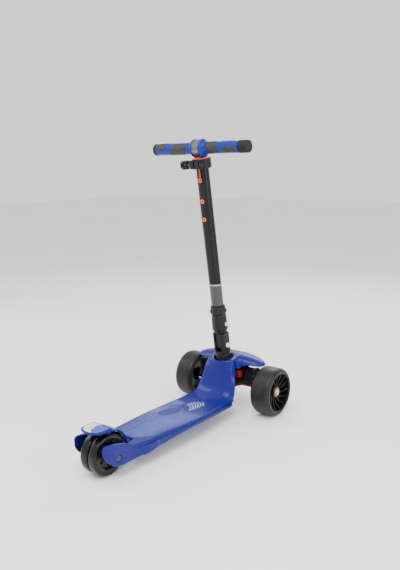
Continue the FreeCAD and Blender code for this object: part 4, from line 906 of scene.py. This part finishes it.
def front_wheel(side, name):
    """Tyre, hub, fan blades and coloured ring of one front wheel."""
    place = axle_place("front_wheel_spin_" + name, side)
    body = "front_wheel_" + name
    turned("front_tyre_look_" + name, FRONT_TYRE, place, front_tyre_rubber, body, "front_tyre",
           ("front_tyre_" + name,), 144)
    turned("front_hub_look_" + name, FRONT_HUB, place, hub_black, body, "hub_plastic",
           ("front_hub_" + name,), 128)
    points, faces = fan_blades(BLADE_COUNT)
    make_piece("fan_blades_" + name, points, faces, place, hub_black, body)
    ring = [
        (15.7, 8.6), (15.7, 12.2), (17.0, 12.2), (17.7, 11.8), (18.0, 11.1), (18.0, 9.6), (17.7, 8.9),
        (17.2, 8.6),
    ]
    turned("hub_ring_look_" + name, ring, place, red_paint, body, "red_metal", ("hub_ring_" + name,), 72)


hub_black = finish_material(
    "hub_black", (0.006, 0.006, 0.0065), 0.24, specular=0.28, wear=(0.04, 0.04, 0.04), wear_share=0.45,
    mottle=0.2, grain=0.00004, grain_scale=900.0, rough_spread=0.06,
)
for side, name in SIDES:
    front_wheel(side, name)
    rounded_copy("front_axle_bolt_" + name, zinc_steel, 0.5)

# ---- rear wheels ---------------------------------------------------------------------------

REAR_TYRE = [(1.6, 31.0)]
for angle in np.linspace(180, 0, 33):
    cosine, sine = math.cos(math.radians(angle)), math.sin(math.radians(angle))
    REAR_TYRE.append((
        11.6 + 10.8 * math.copysign(abs(cosine) ** 0.55, cosine), 34.5 + 9.5 * abs(sine) ** 0.62,
    ))
REAR_TYRE += [(21.6, 31.0)]


def rear_place(side):
    spot = Vector((0, REAR_AXLE.y, REAR_AXLE.z))
    return DECK @ Matrix.Translation(spot) @ Matrix.Rotation(0 if side > 0 else math.pi, 4, "Z")


for side, name in SIDES:
    turned("rear_tyre_look_" + name, REAR_TYRE, rear_place(side), rear_rubber, "rear_wheel_" + name,
           "rear_tyre", ("rear_tyre_" + name,), 120)
    rounded_copy("rear_hub_" + name, hub_black, 0.5)

# ---- folding stem --------------------------------------------------------------------------


def on_stem(profile):
    """A profile of (radius, height along the stem) as (height, radius)."""
    return [(height, radius) for radius, height in profile]


STEM_TURN = STEM @ UPRIGHT


def grooves(count, width, depth, low, high, offset=0.0):
    """A radius rule that presses narrow lengthwise grooves into part of a turned piece."""
    def shape(angle, along, radius):
        step = 2 * math.pi / count
        away = np.abs((angle - offset + step / 2) % step - step / 2)
        inside = np.clip((along - low) / 1.5, 0, 1) * np.clip((high - along) / 1.5, 0, 1)
        outside = np.clip((radius - 17.1) / 0.5, 0, 1)
        return radius - depth * np.exp(-(away / width) ** 2) * inside * outside
    return shape


def lobes(count, depth, low, high):
    """A radius rule that makes finger lobes between two heights."""
    def shape(angle, along, radius):
        inside = np.clip((along - low) / 3, 0, 1) * np.clip((high - along) / 3, 0, 1)
        outside = np.clip((radius - 17.0) / 2.0, 0, 1)
        return radius - depth * (0.5 - 0.5 * np.cos(angle * count)) ** 1.6 * inside * outside
    return shape


SLEEVE = [
    (15.5, 72), (16.6, 72), (17.0, 72.4), (17.2, 74), (17.6, 77.2), (18.6, 78.6), (19.6, 79.6), (20, 81),
    (20, 83), (19.75, 86), (19.5, 94), (19.1, 103), (18.7, 112), (18.55, 116), (18.1, 116.6),
    (18.1, 117.6), (18.5, 118.2), (18.4, 120.6), (18.0, 121), (15.5, 121), (15.5, 118),
    (17, 118), (17, 94), (15.5, 94),
]
COLLAR = [
    (15.5, 121.2), (18.2, 121.2), (18.8, 121.8), (20.6, 123.4), (21.4, 125), (21.5, 127.4), (21.1, 128.6),
    (20.1, 130.2), (19.4, 132.6), (19.0, 135.6), (18.6, 138.4), (18.0, 140.2), (17.2, 141), (15.9, 141),
    (15.5, 140.6),
]
turned("lock_sleeve_look", on_stem(SLEEVE), STEM_TURN, black_plastic, "lock_sleeve", "black_plastic",
       ("lock_sleeve",), 288, shape=grooves(8, 0.022, 0.55, 79, 115, 0.2))
turned("finger_collar_look", on_stem(COLLAR), STEM_TURN, black_plastic, "lock_sleeve", "black_plastic",
       ("finger_collar",), 240, shape=lobes(12, 1.3, 122, 139))

RIVET = [(0, 18.4), (3.6, 18.4), (4.1, 18.9), (4.1, 19.9), (3.6, 20.5), (2.4, 20.85), (0.0, 20.95)]
rivet_place = STEM @ Matrix.Translation((0, 0, 94)) @ Matrix.Diagonal((1, 1, 1.35, 1))
rivet_profile = [(height, max(radius, 0.01)) for radius, height in RIVET]
turned("sleeve_rivet_look", rivet_profile, rivet_place, chrome_steel, "lock_sleeve", "chrome_steel",
       ("sleeve_rivet",), 48, closed=False)

for node, material, width in (
    ("outer_tube", black_tube, 0.35), ("tube_liner", orange_plastic, 0.3),
    ("stem_tongue", black_casting, 0.8),
    ("clamp_collar", black_casting, 1.0), ("clamp_bolt", dark_steel, 0.3),
    ("clamp_nut_and_washer", dark_steel, 0.4), ("lever_pin", dark_steel, 0.3),
    ("clamp_lever", black_plastic, 1.0), ("inner_tube", chrome_steel, 0.2),
    # The bar joint gets the steel darkened as painted shade for the gap between the hand stops.
    ("bar_joint", shade_darkened_steel, 0.9), ("crossbar", chrome_steel, 0.3), ("height_button", orange_plastic, 0.5),
    ("stem_label", grey_label, 0.05), ("fold_pin", chrome_steel, 0.6), ("fold_nut", zinc_steel, 0.5),
    ("front_beam", black_casting, 0.9), ("lower_arms", red_paint, 0.8), ("tie_rod", black_casting, 0.7),
    ("knuckle_right", black_casting, 0.8), ("knuckle_left", black_casting, 0.8),
    ("lean_bolt", zinc_steel, 0.5),
    ("kingpins", dark_steel, 0.5), ("rear_axle_bolt", dark_steel, 0.5),
    ("rear_axle_nut_and_washers", dark_steel, 0.4),
    ("beam_bolts", zinc_steel, 0.4), ("brake_hinge_pin", zinc_steel, 0.4),
    ("brake_shoe", zinc_steel, 0.3), ("brake_rivet", chrome_steel, 0.5),
):
    rounded_copy(node, material, width)


def steering_fork(x, y, s):
    """Foot rings, neck and cheeks of the fork, in the stem's frame."""
    wide = np.abs(x)
    radius = np.hypot(x, y)
    foot = np.minimum(rod(x, y, s, 19.0, -6, 3.8, 1.3), rod(x, y, s, 18.0, -6, 8, 0.5))
    flange = np.minimum(rod(x, y, s, 19.3, 5.0, 12.6, 1.2), rod(x, y, s, 18.3, 6, 17.0, 1.4))
    neck = rod(x, y, s, 17.0, 14, 23, 1.0)
    low = smooth_min(np.minimum(foot, flange), neck, 1.5)
    cheek = np.maximum(np.maximum(wide - 17.0, np.abs(y) - 16.5), np.maximum(16 - s, s - 75))
    crown = np.hypot(y, s - FOLD_AT) - 35.3
    cheek = smooth_max(smooth_max(cheek, crown, 1.6), radius - 20.4, 2.0)
    boss = np.maximum(np.hypot(y, s - FOLD_AT) - 10.2, np.maximum(wide - 17.9, 8 - wide))
    cheek = smooth_min(cheek, boss, 1.4)
    step = block(wide, y, s, (12, -8, 19), (18.2, 8, 24), 1.2)
    cheek = smooth_min(cheek, step, 1.2)
    slot = np.maximum(np.maximum(wide - 7.9, 21 - s), np.where(s < 50, y - 13.4, -50.0))
    cheek = smooth_max(cheek, -slot, 0.9)
    groove = np.maximum(np.abs(s - 62) - 0.7, 16.2 - wide)
    cheek = smooth_max(cheek, -groove, 0.4)
    fork = smooth_min(low, cheek, 1.2)
    fork = smooth_max(fork, -np.maximum(slot, s - 90), 0.9)
    row_y = BASE_Y + LEAN_COS * y - LEAN_SIN * s
    row_z = BASE_Z + LEAN_SIN * y + LEAN_COS * s
    barrel = rod(x, row_z - 108, row_y, 11.0, 178.6, 204.4, 1.0)
    wings = block(x, row_y, row_z, (-36, 197, 104), (36, 204, 110), 1.2)
    paddle = block(x, row_y, row_z, (-8, 185, 71), (8, 191, 106), 1.2)
    pin = rod(x, row_z - 76, row_y, 3.5, 188, 205, 0.6)
    column = rod(x, y, s, 12.0, -24, 0, 0.5)
    under = smooth_min(smooth_min(barrel, wings, 2.5), smooth_min(paddle, column, 2.5), 2.5)
    fork = np.minimum(fork, smooth_min(under, pin, 0.8))
    bore = np.where(row_z < 120, np.hypot(x, row_z - 108) - 7.5, 50.0)
    return np.maximum(fork, -bore)


moulded(
    "steering_fork_look", steering_fork, (-38, -34, -74), (38, 34, 74), grid_step(0.8), STEM,
    black_casting, "steering_fork", ("steering_fork",), relax=1,
)

# ---- springs -------------------------------------------------------------------------------


SPRING_TURNS = 5.5
SPRING_RADIUS = 16.0
SPRING_WIRE = 0.6
# Heights along the stem: the coil's two ends, and the bead above it that it presses against.
SPRING_LOW, SPRING_HIGH, SPRING_STOP = 95.4, 114.4, 115.2


def lock_spring_coil(steps=330, sides=8):
    """Points and faces of a round-wire spring round the tube, in the stem's frame."""
    points, faces = [], []
    for step in range(steps + 1):
        share = step / steps
        angle = share * SPRING_TURNS * 2 * math.pi
        for corner in range(sides):
            turn = corner * 2 * math.pi / sides
            reach = SPRING_RADIUS + SPRING_WIRE * math.cos(turn)
            height = SPRING_LOW + (SPRING_HIGH - SPRING_LOW) * share + SPRING_WIRE * math.sin(turn)
            points.append((reach * math.cos(angle), reach * math.sin(angle), height))
    for step in range(steps):
        for corner in range(sides):
            beside = (corner + 1) % sides
            a, b = step * sides, (step + 1) * sides
            faces.append((a + corner, b + corner, b + beside, a + beside))
    return points, faces


points, faces = lock_spring_coil()
piece = make_piece(
    "lock_spring_look", points, faces, STEM, zinc_steel, "stem", ("lock_spring",),
)
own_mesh(piece)

piece = rounded_copy("button_spring", zinc_steel, 0.02)
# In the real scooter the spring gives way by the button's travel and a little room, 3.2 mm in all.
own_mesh(piece)

# ---- lean cushions -------------------------------------------------------------------------

cushion_low, cushion_high = node_mm("lean_cushions")
cushion_inner = 25.0


def cushion(x, y, z):
    """A block of elastomer with three grooves round it, so that it can bulge."""
    low = (cushion_inner, cushion_low.y, cushion_low.z)
    solid = block(np.abs(x), y, z, low, tuple(cushion_high), 1.6)
    share = (z - cushion_low.z) / (cushion_high.z - cushion_low.z)
    return solid + 0.75 * (0.5 + 0.5 * np.cos(share * 8 * math.pi)) * (share > 0.06) * (share < 0.94)


CUSHION_GRID = ((cushion_inner - 2, cushion_low.y - 2, cushion_low.z - 2),
                (cushion_high.x + 2, cushion_high.y + 2, cushion_high.z + 2))
for side, name in SIDES:
    (low_x, low_y, low_z), (high_x, high_y, high_z) = CUSHION_GRID
    ends = (low_x, high_x) if side > 0 else (-high_x, -low_x)
    piece = moulded(
        "lean_cushion_" + name, cushion, (ends[0], low_y, low_z), (ends[1], high_y, high_z), 0.7, DECK,
        red_elastomer, "deck", ("lean_cushions",), relax=1,
    )
    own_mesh(piece)

# ---- handlebar -----------------------------------------------------------------------------


def bar_turn(side):
    return BAR @ Matrix.Rotation(0 if side > 0 else math.pi, 4, "Z")


def grip_profile(near, far):
    """A grip with its hand stop at the near end."""
    return [
        (near, 11.0), (near, 19.4), (near + 0.4, 20.4), (near + 1.4, 21.0), (near + 3.6, 21.0),
        (near + 5.0, 20.5), (near + 6.0, 19.3), (near + 6.8, 17.2), (near + 8.0, 15.2),
        (near + 10.0, 14.0), (near + 13.0, 13.6),
        (near + 30.0, 13.45), (far - 8.0, 13.5), (far - 1.0, 13.6), (far, 13.2), (far, 11.0),
    ]


def cap_profile(far, end):
    """A ribbed end cap with a small hole in its end."""
    profile = [(far + 0.15, 11.0), (far + 0.15, 13.6), (far + 0.6, 14.0)]
    for rib in np.arange(far + 3.0, end - 5.0, 3.4):
        profile += [(rib, 14.0), (rib + 0.5, 13.5), (rib + 1.2, 13.5), (rib + 1.7, 14.0)]
    return profile + [
        (end - 2.6, 14.0), (end - 1.2, 13.4), (end - 0.4, 12.0), (end, 9.5), (end, 3.2), (end - 0.8, 2.4),
        (end - 0.8, 0.01),
    ]


def patch(start, stop, middle, half, slant, side):
    """Points and faces of one raised rubber patch on a grip, cut off on the slant at its ends."""
    columns, rows = 44, 40
    points, faces = [], []
    for row in range(rows + 1):
        across = 2 * row / rows - 1
        for column in range(columns + 1):
            share = column / columns
            shift = slant * across
            low_x, high_x = start + shift, stop + shift
            x = low_x + (high_x - low_x) * share
            angle = math.radians(middle + half * across)
            to_side = (1 - abs(across)) * math.radians(half) * 14
            border = min(share * (stop - start), (1 - share) * (stop - start), to_side)
            radius = 13.15 + 0.95 * math.sin(min(1.0, border / 1.6) * math.pi / 2)
            points.append((side * x, radius * math.cos(angle), radius * math.sin(angle)))
    for row in range(rows):
        for column in range(columns):
            a = row * (columns + 1) + column
            quad = (a, a + 1, a + columns + 2, a + columns + 1)
            faces.append(quad if side < 0 else quad[::-1])
    return points, faces


PATCHES = {
    # start, stop, middle angle (0 forward, 90 up, 180 rearward), half angle, slant
    "right": ((22, 55, 150, 84, 7), (66, 100, 20, 70, -6), (68, 104, 196, 34, 5)),
    "left": ((36, 80, 200, 86, 9), (92, 121, 128, 60, 8)),
}
BAR_END = 134.5
for side, name in SIDES:
    near = 6.5 if side > 0 else 10.5
    cap = 25.5 if side > 0 else 9.0
    far = BAR_END - cap
    turned("grip_look_" + name, grip_profile(near, far), bar_turn(side), blue_grip, "handlebar", "blue_grip",
           ("grip_" + name,), 96)
    turned("bar_cap_" + name, cap_profile(far, BAR_END), bar_turn(side), black_rubber, "handlebar",
           "black_rubber", ("bar_end_caps",), 96, closed=False)
    for index, spec in enumerate(PATCHES[name]):
        points, faces = patch(*spec, side)
        make_piece("grip_patch_%s_%d" % (name, index), points, faces, BAR, grip_rubber, "handlebar",
                   ("grip_pads",))

# ---- rear brake ----------------------------------------------------------------------------


def pedal_plan(x, y, inset):
    """Distance to the pedal's plan: straight sides, round rear end."""
    half = 28.8 - inset
    rear, front = REAR_AXLE.y - 44 + inset, REAR_AXLE.y + 4 - inset
    bulge = np.clip((rear + 22 - y) / 22, 0, 1)
    narrowed = half * np.sqrt(np.clip(1 - bulge ** 2.0, 0, 1))
    return smooth_max(smooth_max(np.abs(x) - narrowed, y - front, 6), rear - y, 3)


def brake_pedal(x, y, z):
    """Foot plate, arched arm over the wheels and hinge lug."""
    plan = pedal_plan(x, y, 0.4) * 0.8
    rise = 0.0010 * x * x
    plate = smooth_max(plan, np.abs(z - 102.1 + rise) - 2.5, 2.4)
    to_axle = np.hypot(y - REAR_AXLE.y, z - REAR_AXLE.z)
    angle = np.degrees(np.arctan2(z - REAR_AXLE.z, y - REAR_AXLE.y))
    arch_half = np.interp(angle, (10, 60, 80, 100), (20.4, 20.4, 25.0, 28.0))
    arch = np.maximum(np.abs(to_axle - 51.6) - 2.0, np.abs(x) - arch_half)
    ends = np.maximum(8 - angle, angle - 101) * 0.85
    arch = smooth_max(arch, ends, 1.5)
    lug = rod(y + 182.5, z - 50, x, 5.4, -20.4, 20.4, 1.0)
    pedal = smooth_min(smooth_min(plate, arch, 5), lug, 2)
    recess = np.maximum(pedal_plan(x, y, 3.8), 103.9 - rise - z)
    pedal = smooth_max(pedal, -recess, 0.5)
    return np.maximum(pedal, 49.5 - to_axle)


moulded(
    "brake_pedal_look", brake_pedal, (-31, -284, 42), (31, -174, 107), grid_step(1.0), DECK,
    blue_plastic, "brake", ("brake_pedal",), relax=2,
)


def tread_field(x, y, z):
    """The thin plate let into the pedal."""
    rise = 0.0010 * x * x
    plan = pedal_plan(x, y, 4.3) * 0.8
    return smooth_max(plan, np.abs(z - 104.1 + rise) - 0.65, 0.4)


moulded(
    "brake_tread_look", tread_field, (-28, -282, 101), (28, -234, 106), grid_step(0.6), DECK,
    tread_film, "brake", ("brake_tread",), relax=2,
)

# ---- parts kept as they are ----------------------------------------------------------------

PLAIN_NODES = {
    "lean_bushes": bronze,
    "front_bearings_right": zinc_steel, "front_bearings_left": zinc_steel, "rear_bearings_right": zinc_steel,
    "rear_bearings_left": zinc_steel,
}
for node, material in PLAIN_NODES.items():
    data = frame["nodes"][node].data
    data.materials.clear()
    data.materials.append(material)

# ---- floor, light and camera ---------------------------------------------------------------

floor_material, floor_tree, floor_shader, floor_where = new_material("floor")
floor_clouds = spread(floor_tree, noise(floor_tree, floor_where, 1.5, 3.0), 0.3, 0.7)
floor_paint = mix(floor_tree, floor_clouds, (0.86, 0.86, 0.86), (0.90, 0.90, 0.90))
floor_tree.links.new(floor_paint, floor_shader.inputs["Base Color"])
set_input(floor_shader, "Roughness", 0.6)
floor_mesh = bpy.data.meshes.new("floor")
floor_mesh.from_pydata([(-9, -9, 0), (9, -9, 0), (9, 9, 0), (-9, 9, 0)], [], [(0, 1, 2, 3)])
floor_mesh.materials.append(floor_material)
floor = bpy.data.objects.new("floor", floor_mesh)
bpy.context.scene.collection.objects.link(floor)

world = bpy.data.worlds.new("studio")
world.use_nodes = True
background = world.node_tree.nodes["Background"]
background.inputs["Color"].default_value = (1.0, 1.0, 1.0, 1)
background.inputs["Strength"].default_value = 1.25
bpy.context.scene.world = world


def softbox(name, spot, target, size_x, size_y, watts):
    light = bpy.data.lights.new(name, "AREA")
    light.shape = "RECTANGLE"
    light.size = size_x
    light.size_y = size_y
    light.energy = watts
    lamp = bpy.data.objects.new(name, light)
    lamp.location = spot
    lamp.rotation_euler = (Vector(target) - Vector(spot)).to_track_quat("-Z", "Y").to_euler()
    bpy.context.scene.collection.objects.link(lamp)


softbox("key", (0.3, -0.9, 1.9), (0, 0, 0.15), 1.3, 1.3, 44)
softbox("side", (1.7, 0.2, 0.9), (0, 0, 0.2), 0.6, 1.5, 16)
softbox("far_side", (-1.6, -0.3, 1.0), (0, 0, 0.2), 0.7, 1.5, 16)
softbox("rear_rim", (-0.4, 1.8, 1.2), (0, 0, 0.2), 1.4, 0.8, 18)

azimuth, pitch, roll = math.radians(37.75), math.radians(10.90), math.radians(-1.0)
ahead = Vector((-math.sin(azimuth) * math.cos(pitch), math.cos(azimuth) * math.cos(pitch), -math.sin(pitch)))
level = Vector((math.cos(azimuth), math.sin(azimuth), 0))
upward = level.cross(ahead)
turn = Matrix((
    level * math.cos(roll) + upward * math.sin(roll),
    upward * math.cos(roll) - level * math.sin(roll),
    -ahead,
)).transposed()
lens = bpy.data.cameras.new("camera")
lens.sensor_width = 36.0
lens.lens = 38.6
camera = bpy.data.objects.new("camera", lens)
camera.matrix_world = Matrix.Translation((0.8717, -1.0310, 0.6118)) @ turn.to_4x4()
bpy.context.scene.collection.objects.link(camera)
bpy.context.scene.camera = camera
